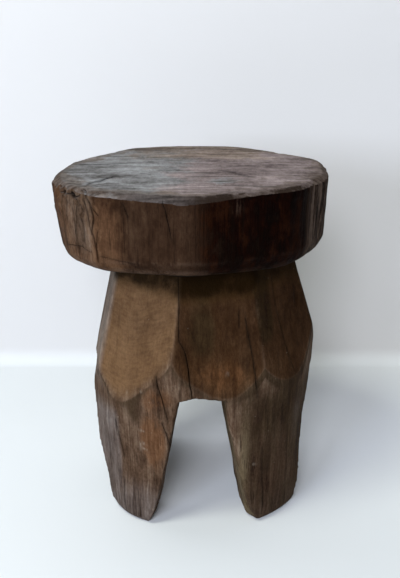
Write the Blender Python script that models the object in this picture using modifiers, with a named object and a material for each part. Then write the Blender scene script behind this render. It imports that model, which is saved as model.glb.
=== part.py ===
"""A low carved stool: a thick hewn seat on a four-legged block with flat-cut shoulders.

Metres, +Z up. The origin is on the floor under the middle of the seat's outline. The front is -Y, and +X is
on the right as seen from the front. A bearing is an angle in degrees about +Z, 0 at the front, growing toward
the right.
"""
import math

import bmesh
import bpy
import numpy as np
from mathutils import Vector

OBJECT_NAME = "carved_stool"

# Overall heights
STOOL_HEIGHT = 0.420
SEAT_THICKNESS = 0.0955

# Seat: a slice of log, its heart a little off the origin, with flats hewn off its rim. A flat is its bearing,
# its depth from the log's round and the length over which its corners are rounded.
SEAT_X = -0.0029
SEAT_Y = -0.0016
SEAT_RADIUS = 0.168
SEAT_FLATS = (
    (-170.0, 0.0080, 0.010),
    (-125.0, 0.0200, 0.012),
    (-100.0, 0.0150, 0.010),
    (-76.0, 0.0095, 0.010),
    (-49.0, 0.0095, 0.010),
    (-20.0, 0.0135, 0.010),
    (28.0, 0.0225, 0.020),
    (60.0, 0.0145, 0.010),
    (85.0, 0.0090, 0.008),
    (136.0, 0.0105, 0.008),
    (165.0, 0.0050, 0.008),
)
FLAT_SPAN = 60.0

# Sections of the seat at some bearings, with straight steps between them. A section is its bearing, the width
# and the drop of the worn upper edge, the taper of the rim, the width and the height of the undercut, and the
# lift of the lower edge.
SEAT_SECTIONS = (
    (-150.0, 0.0060, 0.0040, 0.0050, 0.018, 0.018, 0.0000),
    (-110.0, 0.0080, 0.0065, 0.0070, 0.019, 0.016, 0.0000),
    (-90.0, 0.0110, 0.0125, 0.0085, 0.020, 0.014, 0.0000),
    (-65.0, 0.0090, 0.0090, 0.0080, 0.021, 0.012, 0.0005),
    (-45.0, 0.0070, 0.0060, 0.0035, 0.022, 0.015, 0.0028),
    (-20.0, 0.0120, 0.0050, 0.0025, 0.021, 0.018, 0.0060),
    (-3.0, 0.0210, 0.0065, 0.0020, 0.020, 0.018, 0.0092),
    (12.0, 0.0120, 0.0045, 0.0020, 0.020, 0.018, 0.0066),
    (30.0, 0.0070, 0.0040, 0.0020, 0.020, 0.020, 0.0032),
    (60.0, 0.0075, 0.0055, 0.0030, 0.019, 0.022, 0.0020),
    (90.0, 0.0090, 0.0080, 0.0045, 0.023, 0.022, 0.0000),
    (140.0, 0.0060, 0.0050, 0.0040, 0.020, 0.018, 0.0000),
)
EDGE_SLOPE = 0.6
TAPER_POWER = 1.5
UNDERCUT_START = 26.0
UNDERCUT_END = 82.0
UNDERSIDE_INSET = 0.020
SEAT_FACETS = 72
EDGE_STEPS = 4
RIM_STEPS = 3
SEAT_SHARP = 30.0
SEAT_COLOUR = (0.16, 0.13, 0.12)
SEAT_ROUGHNESS = 0.6

# Drying split down the left corner of the rim: a V-shaped blade's cut
SPLIT_BEARING = -44.0
SPLIT_WIDTH = 0.0030
SPLIT_DEPTH = 0.0135
SPLIT_LENGTH = 0.074
SPLIT_BELOW_TOP = 0.008

# Leg block: a tapered round body, with its own axis
BLOCK_X = 0.0106
BLOCK_Y = 0.0104
FOOT_RADIUS = 0.1280
HIP_RADIUS = 0.1395
HIP_HEIGHT = 0.200
DEPTH_LESS = 0.0085
BLOCK_FACETS = 60
LEG_STEPS = 6
BLOCK_SHARP = 8.0
BLOCK_COLOUR = (0.11, 0.07, 0.045)
BLOCK_ROUGHNESS = 0.55

# Swells of the body low on the legs: bell curves, each with its bearing and spread in degrees, its height and
# spread in height, and how far it stands out.
LEG_SWELLS = (
    (-80.0, 28.0, 0.075, 0.066, 0.0060),
    (84.0, 28.0, 0.022, 0.045, 0.0065),
    (-34.0, 28.0, 0.005, 0.040, 0.0040),
    (-88.0, 24.0, 0.195, 0.028, 0.0022),
)

# Shoulders: flats that lean out from the neck. A flat is its bearing, its reach beyond the neck's own
# and its lean from upright in degrees.
NECK_REACH = 0.104
SHOULDER_FLATS = (
    (11.0, 0.0015, 9.5),
    (47.0, 0.0025, 11.4),
    (95.0, -0.0012, 17.4),
    (140.0, 0.0010, 12.0),
    (185.0, 0.0020, 11.0),
    (-130.0, 0.0000, 12.0),
    (-83.0, -0.0030, 12.5),
    (-43.5, -0.0070, 12.3),
)

# Channels: one from front to back and one from side to side, which part the block into four legs
CHANNEL_FOOT_WIDTH = 0.116
CHANNEL_TOP_WIDTH = 0.050
CHANNEL_HEIGHT = 0.176
CHANNEL_PEAK = 0.005
CHANNEL_PEAK_SHIFT = -0.008

# Joint: a round stub tenon on the block in a blind mortise in the seat, spread by two hidden wedges
TENON_RADIUS = 0.040
TENON_LENGTH = 0.055
TENON_ROOT = 0.012
TENON_FACETS = 48
WEDGE_OFFSET = 0.016
WEDGE_LENGTH = 0.042
WEDGE_INSET = 0.004
WEDGE_HEAD = 0.0055
WEDGE_TIP = 0.0015
WEDGE_COLOUR = (0.35, 0.22, 0.12)
WEDGE_ROUGHNESS = 0.6
FIT_GAP = 0.0003
CUT_MARGIN = 0.010

# Heights and places that follow from the sizes above
SEAT_BOTTOM = STOOL_HEIGHT - SEAT_THICKNESS
BLOCK_TOP = SEAT_BOTTOM - FIT_GAP
TENON_TOP = BLOCK_TOP + TENON_LENGTH
BLOCK_TOP_RADIUS = FOOT_RADIUS + (HIP_RADIUS - FOOT_RADIUS) * BLOCK_TOP / HIP_HEIGHT
WEDGE_WIDTH = 2.0 * (math.sqrt(TENON_RADIUS**2 - (WEDGE_OFFSET + WEDGE_HEAD / 2.0) ** 2) - WEDGE_INSET)


def new_collection(name):
    """Make a collection in the scene."""
    collection = bpy.data.collections.new(name)
    bpy.context.scene.collection.children.link(collection)
    return collection


def wood(name, colour, roughness):
    """Make a plain wood material."""
    material = bpy.data.materials.new(name)
    material.use_nodes = True
    shader = material.node_tree.nodes["Principled BSDF"]
    shader.inputs["Base Color"].default_value = (*colour, 1.0)
    shader.inputs["Roughness"].default_value = roughness
    shader.inputs["Metallic"].default_value = 0.0
    return material


def add_object(name, mesh, collection, location=(0.0, 0.0, 0.0), material=None):
    """Put a mesh into a collection as a named object."""
    made = bpy.data.objects.new(name, mesh)
    made.location = location
    collection.objects.link(made)
    if material:
        mesh.materials.append(material)
    return made


def add_cutter(name, mesh, collection, location=(0.0, 0.0, 0.0)):
    """Put a mesh into a collection as a wire shape that only cuts or joins."""
    made = add_object(name, mesh, collection, location)
    made.hide_render = True
    made.display_type = "WIRE"
    return made


def boolean(target, tool, operation):
    """Cut or join one object with another."""
    modifier = target.modifiers.new(f"{operation.lower()} {tool.name}", "BOOLEAN")
    modifier.operation = operation
    modifier.object = tool
    modifier.solver = "EXACT"


def bearing_vector(bearing):
    """Level unit vector at a bearing in degrees."""
    angle = math.radians(bearing)
    return Vector((math.sin(angle), -math.cos(angle), 0.0))


def soft_least(first, second, blend):
    """The lesser of two lengths, with the corner between them rounded over a blend length."""
    overlap = max(blend - abs(first - second), 0.0) / blend
    return min(first, second) - overlap * overlap * blend / 4.0


def turned(name, profile, steps):
    """Turn a profile of (radius, height) points, top to bottom, into a closed mesh about Z."""
    outline = bpy.data.meshes.new(f"{name} profile")
    points = [(radius, 0.0, height) for radius, height in profile]
    outline.from_pydata(points, [(i, i + 1) for i in range(len(points) - 1)], [])
    blank = add_object(f"{name} blank", outline, bpy.context.scene.collection)
    screw = blank.modifiers.new("turn", "SCREW")
    screw.axis = "Z"
    screw.steps = steps
    screw.render_steps = steps
    screw.use_merge_vertices = True
    screw.merge_threshold = 0.00001
    graph = bpy.context.evaluated_depsgraph_get()
    mesh = bpy.data.meshes.new_from_object(blank.evaluated_get(graph))
    mesh.name = name
    bpy.data.objects.remove(blank)
    bpy.data.meshes.remove(outline)
    return mesh


def shade(mesh, sharp_degrees):
    """Shade a mesh smooth, except over edges that turn by more than the given angle."""
    mesh.shade_smooth()
    mesh.set_sharp_from_angle(angle=math.radians(sharp_degrees))


def cylinder(name, radius, length, facets):
    """An upright cylinder mesh that stands on its own origin."""
    mesh = bpy.data.meshes.new(name)
    shape = bmesh.new()
    bmesh.ops.create_cone(shape, cap_ends=True, segments=facets, radius1=radius, radius2=radius, depth=length)
    bmesh.ops.translate(shape, verts=shape.verts, vec=(0.0, 0.0, length / 2.0))
    shape.to_mesh(mesh)
    shape.free()
    return mesh


def prism(name, outline, length, along):
    """Extrude an outline of (across, height) points to a length, centred, along X or along Y."""
    mesh = bpy.data.meshes.new(name)
    shape = bmesh.new()
    if along == "Y":
        corners = [shape.verts.new((across, -length / 2.0, height)) for across, height in outline]
        push = Vector((0.0, length, 0.0))
    else:
        corners = [shape.verts.new((-length / 2.0, across, height)) for across, height in outline]
        push = Vector((length, 0.0, 0.0))
    face = shape.faces.new(corners)
    swept = bmesh.ops.extrude_face_region(shape, geom=[face])["geom"]
    moved = [item for item in swept if isinstance(item, bmesh.types.BMVert)]
    bmesh.ops.translate(shape, verts=moved, vec=push)
    bmesh.ops.recalc_face_normals(shape, faces=shape.faces)
    shape.to_mesh(mesh)
    shape.free()
    return mesh


def loft(name, columns):
    """A closed mesh through columns of points that stand round an axis, with a flat cap on each end."""
    mesh = bpy.data.meshes.new(name)
    shape = bmesh.new()
    grid = [[shape.verts.new(point) for point in column] for column in columns]
    for near, far in zip(grid, grid[1:] + grid[:1]):
        for step in range(len(near) - 1):
            shape.faces.new((near[step], near[step + 1], far[step + 1], far[step]))
    shape.faces.new([column[0] for column in grid])
    shape.faces.new([column[-1] for column in grid])
    bmesh.ops.recalc_face_normals(shape, faces=shape.faces)
    shape.to_mesh(mesh)
    shape.free()
    return mesh


def rim_reach(bearing):
    """Distance from the seat's heart to its rim at a bearing, after the flats are hewn."""
    reach = SEAT_RADIUS
    for flat_bearing, depth, blend in SEAT_FLATS:
        facing = bearing_vector(bearing).dot(bearing_vector(flat_bearing))
        if facing > math.cos(math.radians(FLAT_SPAN)):
            reach = soft_least(reach, (SEAT_RADIUS - depth) / facing, blend)
    return reach


def seat_section(bearing):
    """Sizes of the seat's section at a bearing, in straight steps between the sections that are given."""
    rows = np.array(SEAT_SECTIONS)
    return [float(np.interp(bearing, rows[:, 0], column, period=360.0)) for column in rows[:, 1:].T]


def seat_column(bearing):
    """Points of the seat's section at a bearing, from the flat top out over the rim to the flat underside.

    The worn edge is a slope, steeper toward its outer lip, the rim draws in by its taper, and the undercut is part
    of an arc.
    """
    reach = rim_reach(bearing)
    width, drop, taper, under, tall, lift = seat_section(bearing)
    points = []
    for step in range(EDGE_STEPS + 1):
        turn = math.radians(90.0) * step / EDGE_STEPS
        inset = width * (1.0 - math.sin(turn))
        down = EDGE_SLOPE * math.sin(turn) + (1.0 - EDGE_SLOPE) * (1.0 - math.cos(turn))
        points.append((reach - inset, SEAT_THICKNESS - drop * down))
    rim_high = SEAT_THICKNESS - drop
    rim_low = lift + tall
    for step in range(1, RIM_STEPS):
        share = step / RIM_STEPS
        points.append((reach - taper * share**TAPER_POWER, rim_high + (rim_low - rim_high) * share))
    first = math.radians(UNDERCUT_START)
    last = math.radians(UNDERCUT_END)
    for step in range(EDGE_STEPS + 1):
        turn = first + (last - first) * step / EDGE_STEPS
        inward = (math.cos(first) - math.cos(turn)) / (math.cos(first) - math.cos(last))
        fall = (math.sin(turn) - math.sin(first)) / (math.sin(last) - math.sin(first))
        points.append((reach - taper - under * inward, rim_low - tall * fall))
    points.append((reach - taper - under - UNDERSIDE_INSET, 0.0))
    return [bearing_vector(bearing) * far + Vector((0.0, 0.0, height)) for far, height in points]


def split_outline():
    """Section of the split's blade: a V that is open at the rim and stands proud of it by the cutting margin."""
    half = SPLIT_WIDTH / 2.0 * (SPLIT_DEPTH + CUT_MARGIN) / SPLIT_DEPTH
    return [(-half, CUT_MARGIN), (0.0, -SPLIT_DEPTH), (half, CUT_MARGIN)]


def make_seat(parts, cutters):
    """The seat, with its rim hewn to shape, the split in it and a blind mortise bored in its underside."""
    bearings = [360.0 * step / SEAT_FACETS - 180.0 for step in range(SEAT_FACETS)]
    mesh = loft("seat", [seat_column(bearing) for bearing in bearings])
    shade(mesh, SEAT_SHARP)
    place = Vector((SEAT_X, SEAT_Y, SEAT_BOTTOM))
    seat = add_object("seat", mesh, parts, place, wood("seat wood", SEAT_COLOUR, SEAT_ROUGHNESS))

    middle = SEAT_THICKNESS - SPLIT_BELOW_TOP - SPLIT_LENGTH / 2.0
    spot = place + bearing_vector(SPLIT_BEARING) * rim_reach(SPLIT_BEARING) + Vector((0.0, 0.0, middle))
    split = add_cutter("split", prism("split", split_outline(), SPLIT_LENGTH, "Y"), cutters, spot)
    split.rotation_euler = (math.radians(90.0), 0.0, math.radians(SPLIT_BEARING))
    boolean(seat, split, "DIFFERENCE")

    bore = cylinder("mortise", TENON_RADIUS + FIT_GAP, TENON_LENGTH + CUT_MARGIN, TENON_FACETS)
    mortise = add_cutter("mortise", bore, cutters, (BLOCK_X, BLOCK_Y, BLOCK_TOP + FIT_GAP - CUT_MARGIN))
    boolean(seat, mortise, "DIFFERENCE")
    return seat


def shoulder_cut(shape, bearing, reach, lean):
    """Slice one shoulder flat off a closed shape and close it again."""
    outward = bearing_vector(bearing)
    tilt = math.radians(lean)
    point = outward * reach + Vector((0.0, 0.0, BLOCK_TOP))
    normal = outward * math.cos(tilt) + Vector((0.0, 0.0, math.sin(tilt)))
    everything = shape.verts[:] + shape.edges[:] + shape.faces[:]
    cut = bmesh.ops.bisect_plane(shape, geom=everything, plane_co=point, plane_no=normal, clear_outer=True)
    edges = [item for item in cut["geom_cut"] if isinstance(item, bmesh.types.BMEdge)]
    bmesh.ops.edgeloop_fill(shape, edges=edges)


def leg_swell(bearing, height):
    """How far the swells move the body out at a bearing and a height: a sum of bell curves."""
    total = 0.0
    for middle, spread, level, tall, more in LEG_SWELLS:
        total += more * math.exp(-(((bearing - middle) / spread) ** 2) - ((height - level) / tall) ** 2)
    return total


def block_profile():
    """Half section of the block's body: an even taper, with rings up to the hip for the swells."""
    points = [(0.0, BLOCK_TOP), (BLOCK_TOP_RADIUS, BLOCK_TOP)]
    for step in range(LEG_STEPS, -1, -1):
        share = step / LEG_STEPS
        points.append((FOOT_RADIUS + (HIP_RADIUS - FOOT_RADIUS) * share, HIP_HEIGHT * share))
    return points + [(0.0, 0.0)]


def channel_outline():
    """Section of a channel: wide at the floor, narrow at the top, with a slightly peaked ceiling."""
    spread = (CHANNEL_FOOT_WIDTH - CHANNEL_TOP_WIDTH) / 2.0 / CHANNEL_HEIGHT
    bottom = CHANNEL_FOOT_WIDTH / 2.0 + spread * CUT_MARGIN
    top = CHANNEL_TOP_WIDTH / 2.0
    return [
        (-bottom, -CUT_MARGIN),
        (bottom, -CUT_MARGIN),
        (top, CHANNEL_HEIGHT),
        (CHANNEL_PEAK_SHIFT, CHANNEL_HEIGHT + CHANNEL_PEAK),
        (-top, CHANNEL_HEIGHT),
    ]


def wedge_outline(gap):
    """Section of a wedge, head up, grown by a gap on its two faces and below its tip."""
    head = WEDGE_HEAD / 2.0 + gap
    tip = WEDGE_TIP / 2.0 + gap
    return [(-tip, -WEDGE_LENGTH - gap), (tip, -WEDGE_LENGTH - gap), (head, 0.0), (-head, 0.0)]


def kerf_outline():
    """Section of the slot for a wedge, which runs out through the top of the tenon."""
    outline = wedge_outline(FIT_GAP)
    head = outline[2][0]
    return outline[:3] + [(head, CUT_MARGIN), (-head, CUT_MARGIN)] + outline[3:]


def make_leg_block(parts, cutters):
    """The block below the seat: round body, shoulder flats, four legs and the split tenon on top."""
    mesh = turned("leg_block", block_profile(), BLOCK_FACETS)
    shape = bmesh.new()
    shape.from_mesh(mesh)
    bmesh.ops.scale(shape, verts=shape.verts, vec=(1.0, 1.0 - DEPTH_LESS / HIP_RADIUS, 1.0))
    for vertex in shape.verts:
        x, y, height = vertex.co
        if math.hypot(x, y) > 0.0:
            bearing = math.degrees(math.atan2(x, -y))
            vertex.co += bearing_vector(bearing) * leg_swell(bearing, height)
    for bearing, extra, lean in SHOULDER_FLATS:
        shoulder_cut(shape, bearing, NECK_REACH + extra, lean)
    shape.to_mesh(mesh)
    shape.free()
    shade(mesh, BLOCK_SHARP)
    place = Vector((BLOCK_X, BLOCK_Y, 0.0))
    material = wood("leg block wood", BLOCK_COLOUR, BLOCK_ROUGHNESS)
    block = add_object("leg_block", mesh, parts, place, material)

    reach = 2.0 * (BLOCK_TOP_RADIUS + CUT_MARGIN)
    for along in ("Y", "X"):
        name = f"channel along {along}"
        channel = add_cutter(name, prism(name, channel_outline(), reach, along), cutters, place)
        boolean(block, channel, "DIFFERENCE")

    stub = cylinder("tenon", TENON_RADIUS, TENON_LENGTH + TENON_ROOT, TENON_FACETS)
    tenon = add_cutter("tenon", stub, cutters, place + Vector((0.0, 0.0, BLOCK_TOP - TENON_ROOT)))
    boolean(block, tenon, "UNION")
    for side in (-1.0, 1.0):
        name = f"kerf {'left' if side < 0.0 else 'right'}"
        spot = place + Vector((side * WEDGE_OFFSET, 0.0, TENON_TOP))
        slot = prism(name, kerf_outline(), 2.0 * (TENON_RADIUS + CUT_MARGIN), "Y")
        boolean(block, add_cutter(name, slot, cutters, spot), "DIFFERENCE")
    return block


def make_wedge(name, side, parts):
    """One hidden wedge, driven into the tenon's slot as the seat goes down."""
    mesh = prism(name, wedge_outline(0.0), WEDGE_WIDTH, "Y")
    spot = (BLOCK_X + side * WEDGE_OFFSET, BLOCK_Y, TENON_TOP)
    return add_object(name, mesh, parts, spot, wood(f"{name} wood", WEDGE_COLOUR, WEDGE_ROUGHNESS))


def main():
    """Clear the scene and build the stool."""
    for old in list(bpy.data.objects):
        bpy.data.objects.remove(old)
    parts = new_collection(OBJECT_NAME)
    cutters = new_collection(f"{OBJECT_NAME} cutters")
    pieces = [
        make_seat(parts, cutters),
        make_leg_block(parts, cutters),
        make_wedge("tenon_wedge_left", -1.0, parts),
        make_wedge("tenon_wedge_right", 1.0, parts),
    ]
    stand = bpy.data.objects.new(OBJECT_NAME, None)
    parts.objects.link(stand)
    for piece in pieces:
        piece.parent = stand
    bpy.context.view_layer.update()


main()
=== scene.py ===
# %% [markdown]
# # A carved stool, dressed for its photograph
# The real object is a low stool hewn from dark hardwood: a thick round seat with flats chopped off its rim,
# on a block with leaning flat shoulders, parted below by two crossing channels into four legs. It is old
# and dry. The top has worn grey, the arrises are rubbed, and long drying cracks run with the grain. Here the
# top's grey is partly a painted sheen, and the rubbed arrises partly a painted highlight. The CAD model gives
# the size of every piece, so this lesson only makes the pieces look as they are. All lengths are metres.

import bmesh
import bpy
import numpy as np
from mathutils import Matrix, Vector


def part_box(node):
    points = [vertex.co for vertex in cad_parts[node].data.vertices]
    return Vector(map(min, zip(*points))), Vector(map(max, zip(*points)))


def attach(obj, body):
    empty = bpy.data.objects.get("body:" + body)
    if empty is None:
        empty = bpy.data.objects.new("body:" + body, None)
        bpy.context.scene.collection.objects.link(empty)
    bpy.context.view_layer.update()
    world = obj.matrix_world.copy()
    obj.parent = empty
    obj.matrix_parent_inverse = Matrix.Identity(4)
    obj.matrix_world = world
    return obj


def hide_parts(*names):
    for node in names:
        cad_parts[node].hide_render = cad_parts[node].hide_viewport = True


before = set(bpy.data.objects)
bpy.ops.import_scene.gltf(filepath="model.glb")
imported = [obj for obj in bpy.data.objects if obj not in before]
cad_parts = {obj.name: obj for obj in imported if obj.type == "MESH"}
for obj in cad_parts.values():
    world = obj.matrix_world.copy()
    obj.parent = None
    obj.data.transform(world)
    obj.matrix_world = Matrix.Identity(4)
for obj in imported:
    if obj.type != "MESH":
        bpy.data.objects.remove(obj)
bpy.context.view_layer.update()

# %% [markdown]
# ## Heights and axes
# The origin lies under the middle of the seat's outline, and the seat and the block each have an axis of
# their own beside it. The heights come from the boxes of the CAD nodes, so the new pieces meet where the
# solids meet. A bearing is an angle about an upright axis in degrees, 0 at the front and growing to the
# right.

# %% Heights and axes
CLEARANCE = 0.0003
SEAT_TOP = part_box("seat")[1][2]
SEAT_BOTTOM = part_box("seat")[0][2]
BLOCK_TOP = SEAT_BOTTOM - CLEARANCE
SEAT_AXIS = np.array([-0.0029, -0.0016, 0.0])
BLOCK_AXIS = np.array([0.0106, 0.0104, 0.0])
UP = np.array([0.0, 0.0, 1.0])
print("seat from", round(SEAT_BOTTOM, 4), "to", round(SEAT_TOP, 4))


def heading(bearing):
    """Level unit vectors at bearings in degrees: (sin, -cos, 0)."""
    angle = np.radians(bearing)
    return np.stack([np.sin(angle), -np.cos(angle), np.zeros_like(angle)], axis=-1)


def bearing_of(points, axis):
    """Bearings in degrees of points about an upright axis: the angle whose tangent is x over -y."""
    away = points - axis
    return np.degrees(np.arctan2(away[..., 0], -away[..., 1]))


def point_at(axis, bearing, reach, height):
    """Points about an upright axis: the axis, plus the heading times the reach, plus up times the height."""
    return axis + heading(bearing) * reach[..., None] + UP * height[..., None]


# %% [markdown]
# ## Smooth fields
# A hewn surface is never quite flat, and a crack is never quite straight. Both wander by a smooth random
# field, worked out here with numpy from a fixed table, so that each run gives the same stool. Eased steps
# and soft spots say where on the stool something happens.

# %% Smooth fields
KNOTS = np.random.default_rng(23).uniform(-1.0, 1.0, 8192)
STRIDES = np.array([1, 127, 2039])
LAYER_SHIFT = 17.31


def wander(points, size, layer=0):
    """Smooth random numbers from -1 to 1 at points.

    Space is cut into boxes of the given size, one number or three. Each box corner has a fixed random
    number, and a point takes a blend of the eight corners round it, with weights eased by 3t^2 - 2t^3.
    """
    place = np.asarray(points) / size + LAYER_SHIFT * layer
    corner = np.floor(place).astype(np.int64)
    part = place - corner
    part = part * part * (3.0 - 2.0 * part)
    total = np.zeros(place.shape[:-1])
    for step in np.ndindex(2, 2, 2):
        weight = np.where(np.array(step) == 1, part, 1.0 - part).prod(axis=-1)
        total += KNOTS[((corner + step) @ STRIDES) % KNOTS.size] * weight
    return total


def rough(points, *fields):
    """A sum of wanders, each given as its height, its box size and its layer."""
    return sum(height * wander(points, size, layer) for height, size, layer in fields)


def ease(value, low, high):
    """A step from 0 at low to 1 at high, eased by 3t^2 - 2t^3. Low may be above high."""
    part = np.clip((value - low) / (high - low), 0.0, 1.0)
    return part * part * (3.0 - 2.0 * part)


def plateau(value, start, full, fade, end):
    """An eased step up from start to full, times an eased step down from fade to end."""
    return ease(value, start, full) * (1.0 - ease(value, fade, end))


def spot(first, second, centre, spread):
    """A soft spot over two coordinates: a bell curve about a centre, with a spread along each."""
    return np.exp(-(((first - centre[0]) / spread[0]) ** 2) - ((second - centre[1]) / spread[1]) ** 2)


def spots(first, second, rows):
    """A sum of soft spots, each row a weight, a centre and a spread."""
    return sum(weight * spot(first, second, centre, spread) for weight, centre, spread in rows)


def soft_least(first, second, blend):
    """The lesser of two lengths, with the corner where they cross rounded over a blend length."""
    overlap = np.clip(blend - np.abs(first - second), 0.0, None) / blend
    return np.minimum(first, second) - overlap * overlap * blend / 4.0


# %% [markdown]
# ## From rings to a mesh
# Every shape here is a stack of closed rings: a profile carried along a path. A ring's points run round,
# the rings follow one another, and a fan closes each end. Cutting, remeshing and smoothing are left to
# modifiers, whose result is then taken as the piece's own mesh.

# %% From rings to a mesh
def skin(name, rings):
    """Make a closed mesh object of rings[i, j], point j of ring i.

    Each grid cell is one four-sided face, the last column joins the first, and a fan about the mean of the
    end ring closes each end. The faces are turned over if the volume they hold, the sum of a.(b x c)/6,
    comes out negative.
    """
    rows, columns = rings.shape[:2]
    points = np.concatenate([rings.reshape(-1, 3), rings[[0, -1]].mean(axis=1)])
    row, column = np.meshgrid(np.arange(rows - 1) * columns, np.arange(columns), indexing="ij")
    after = (column + 1) % columns
    quads = np.stack([row + column, row + after, row + columns + after, row + columns + column], axis=-1)
    side = np.arange(columns)
    beside = (side + 1) % columns
    last = (rows - 1) * columns
    near_fan = np.stack([beside, side, np.full(columns, rows * columns)], axis=-1)
    far_fan = np.stack([last + side, last + beside, np.full(columns, rows * columns + 1)], axis=-1)
    quads = quads.reshape(-1, 4)
    halves = np.concatenate([quads[:, [0, 1, 2]], quads[:, [0, 2, 3]], near_fan, far_fan])
    corners = points[halves]
    volume = np.einsum("ij,ij->i", corners[:, 0], np.cross(corners[:, 1], corners[:, 2])).sum() / 6.0
    mesh = bpy.data.meshes.new(name)
    mesh.from_pydata(points, [], quads.tolist() + near_fan.tolist() + far_fan.tolist())
    if volume < 0.0:
        mesh.flip_normals()
    made = bpy.data.objects.new(name, mesh)
    bpy.context.scene.collection.objects.link(made)
    return made


def settle(piece):
    """Take the mesh that the modifiers give as the piece's own, and clear the modifiers."""
    bpy.context.view_layer.update()
    graph = bpy.context.evaluated_depsgraph_get()
    plain = piece.data
    made = bpy.data.meshes.new_from_object(piece.evaluated_get(graph))
    piece.modifiers.clear()
    piece.data = made
    bpy.data.meshes.remove(plain)


def combine(piece, tools, operation, solver="MANIFOLD"):
    """Cut tools out of a piece, or join them to it, and throw the tools away."""
    for tool in tools:
        step = piece.modifiers.new(tool.name, "BOOLEAN")
        step.operation = operation
        step.solver = solver
        step.object = tool
    settle(piece)
    for tool in tools:
        waste = tool.data
        bpy.data.objects.remove(tool)
        bpy.data.meshes.remove(waste)


def wear_down(piece, grain, rounds):
    """Remesh a piece in even cells of one size and smooth it, as years of hands round off sharp edges."""
    cells = piece.modifiers.new("even cells", "REMESH")
    cells.mode = "VOXEL"
    cells.voxel_size = grain
    worn = piece.modifiers.new("worn", "SMOOTH")
    worn.factor = 0.5
    worn.iterations = rounds
    settle(piece)


def thin_out(piece, most):
    """Merge cells where the surface is flat, until the piece has about so many triangles at most."""
    fewer = piece.modifiers.new("fewer cells", "DECIMATE")
    fewer.ratio = min(1.0, most / (2.0 * len(piece.data.polygons)))
    settle(piece)


def drop_scraps(piece):
    """Throw away the scraps that cuts leave beside a piece, and give the number of their points.

    Every point starts with its own number, and each edge hands the smaller number on until both its ends
    agree. The number that most points end up with marks the piece itself.
    """
    ends = np.empty(len(piece.data.edges) * 2, dtype=np.int32)
    piece.data.edges.foreach_get("vertices", ends)
    first, second = ends.reshape(-1, 2).T
    shell = np.arange(len(piece.data.vertices))
    while np.any(shell[first] != shell[second]):
        least = np.minimum(shell[first], shell[second])
        np.minimum.at(shell, first, least)
        np.minimum.at(shell, second, least)
        shell = shell[shell]
    scraps = np.flatnonzero(shell != np.bincount(shell).argmax())
    shape = bmesh.new()
    shape.from_mesh(piece.data)
    shape.verts.ensure_lookup_table()
    bmesh.ops.delete(shape, geom=[shape.verts[index] for index in scraps], context="VERTS")
    shape.to_mesh(piece.data)
    shape.free()
    return len(scraps)


def vectors_of(items, name):
    """One vector of each item in a mesh, as the rows of an array."""
    flat = np.empty(len(items) * 3, dtype=np.float32)
    items.foreach_get(name, flat)
    return flat.reshape(-1, 3).astype(float)


def points_of(piece):
    """The piece's vertices as an array of points."""
    return vectors_of(piece.data.vertices, "co")


def normals_of(piece):
    """The outward unit normals at the piece's vertices."""
    return vectors_of(piece.data.vertex_normals, "vector")


def move_points(piece, points):
    """Put the piece's vertices at new points."""
    piece.data.vertices.foreach_set("co", points.astype(np.float32).ravel())
    piece.data.update()


def paint(piece, name, values):
    """Keep one number per vertex on the piece, for its material to read by name."""
    layer = piece.data.attributes.new(name, "FLOAT", "POINT")
    layer.data.foreach_set("value", np.clip(values, 0.0, 1.0).astype(np.float32))


# %% [markdown]
# ## The block's outside
# The block is a tapered round log. Eight flats lean in from the hip to the neck, and each was chopped with
# a broad blade, so its lower end runs out in a curve where the flat leaves the round. One could slice a
# solid with planes. A formula is shorter: the distance from the axis to the surface is the least of the
# round's and the flats' own, and a soft least rounds the arrises a little.

# %% The block's outside
FOOT_RADIUS, HIP_RADIUS, HIP_HEIGHT = 0.1280, 0.1395, 0.200
DEPTH_SHARE = 1.0 - 0.0085 / HIP_RADIUS
NECK_REACH = 0.104
# Each shoulder flat: the bearing it faces, its extra reach at the neck and its lean in degrees.
SHOULDER_FLATS = (
    (11.0, 0.0015, 9.5),
    (47.0, 0.0025, 11.4),
    (95.0, -0.0012, 17.4),
    (140.0, 0.0010, 12.0),
    (185.0, 0.0020, 11.0),
    (-130.0, 0.0000, 12.0),
    (-83.0, -0.0030, 12.5),
    (-43.5, -0.0070, 12.3),
)
# Each leg flat: the bearing it faces and its depth inside the log.
LEG_FLATS = ((-62.0, 0.0022), (-28.0, 0.0012), (72.0, 0.0016), (118.0, 0.0028), (-145.0, 0.0028))
# Each swell: how far it stands out, its bearing and height, and its spread in both.
LEG_SWELLS = (
    (0.0060, (-80.0, 0.075), (28.0, 0.066)),
    (0.0065, (84.0, 0.022), (28.0, 0.045)),
    (0.0040, (-34.0, 0.005), (28.0, 0.040)),
    (0.0022, (-88.0, 0.195), (24.0, 0.028)),
    (0.0036, (-66.0, 0.203), (12.0, 0.028)),
    (0.0042, (-16.0, 0.203), (9.0, 0.030)),
)
ARRIS_BLEND, LEAST_TURN = 0.0022, 0.2
TOE_ROUND, TOE_HEIGHT = 0.0045, 0.010
BLOCK_COLUMNS, BLOCK_ROWS, END_SHARE = 480, 200, 0.3


def round_reach(bearing, height):
    """Reach of the tapered log: an ellipse at each height, growing evenly from foot to hip and above."""
    wide = FOOT_RADIUS + (HIP_RADIUS - FOOT_RADIUS) * height / HIP_HEIGHT
    deep = wide * DEPTH_SHARE
    angle = np.radians(bearing)
    return 1.0 / np.hypot(np.sin(angle) / wide, np.cos(angle) / deep)


def turn_from(facing, bearing):
    """Cosine of the turn from the way a flat faces to each bearing, kept above a least value."""
    return np.maximum(np.cos(np.radians(bearing - facing)), LEAST_TURN)


def flat_reaches(bearing, height):
    """Reach of each shoulder flat, one per row: its neck reach plus its lean's run, over the cosine."""
    reaches = []
    for facing, extra, lean in SHOULDER_FLATS:
        straight = NECK_REACH + extra + (BLOCK_TOP - height) * np.tan(np.radians(lean))
        reaches.append(straight / turn_from(facing, bearing))
    return np.array(reaches)


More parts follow.
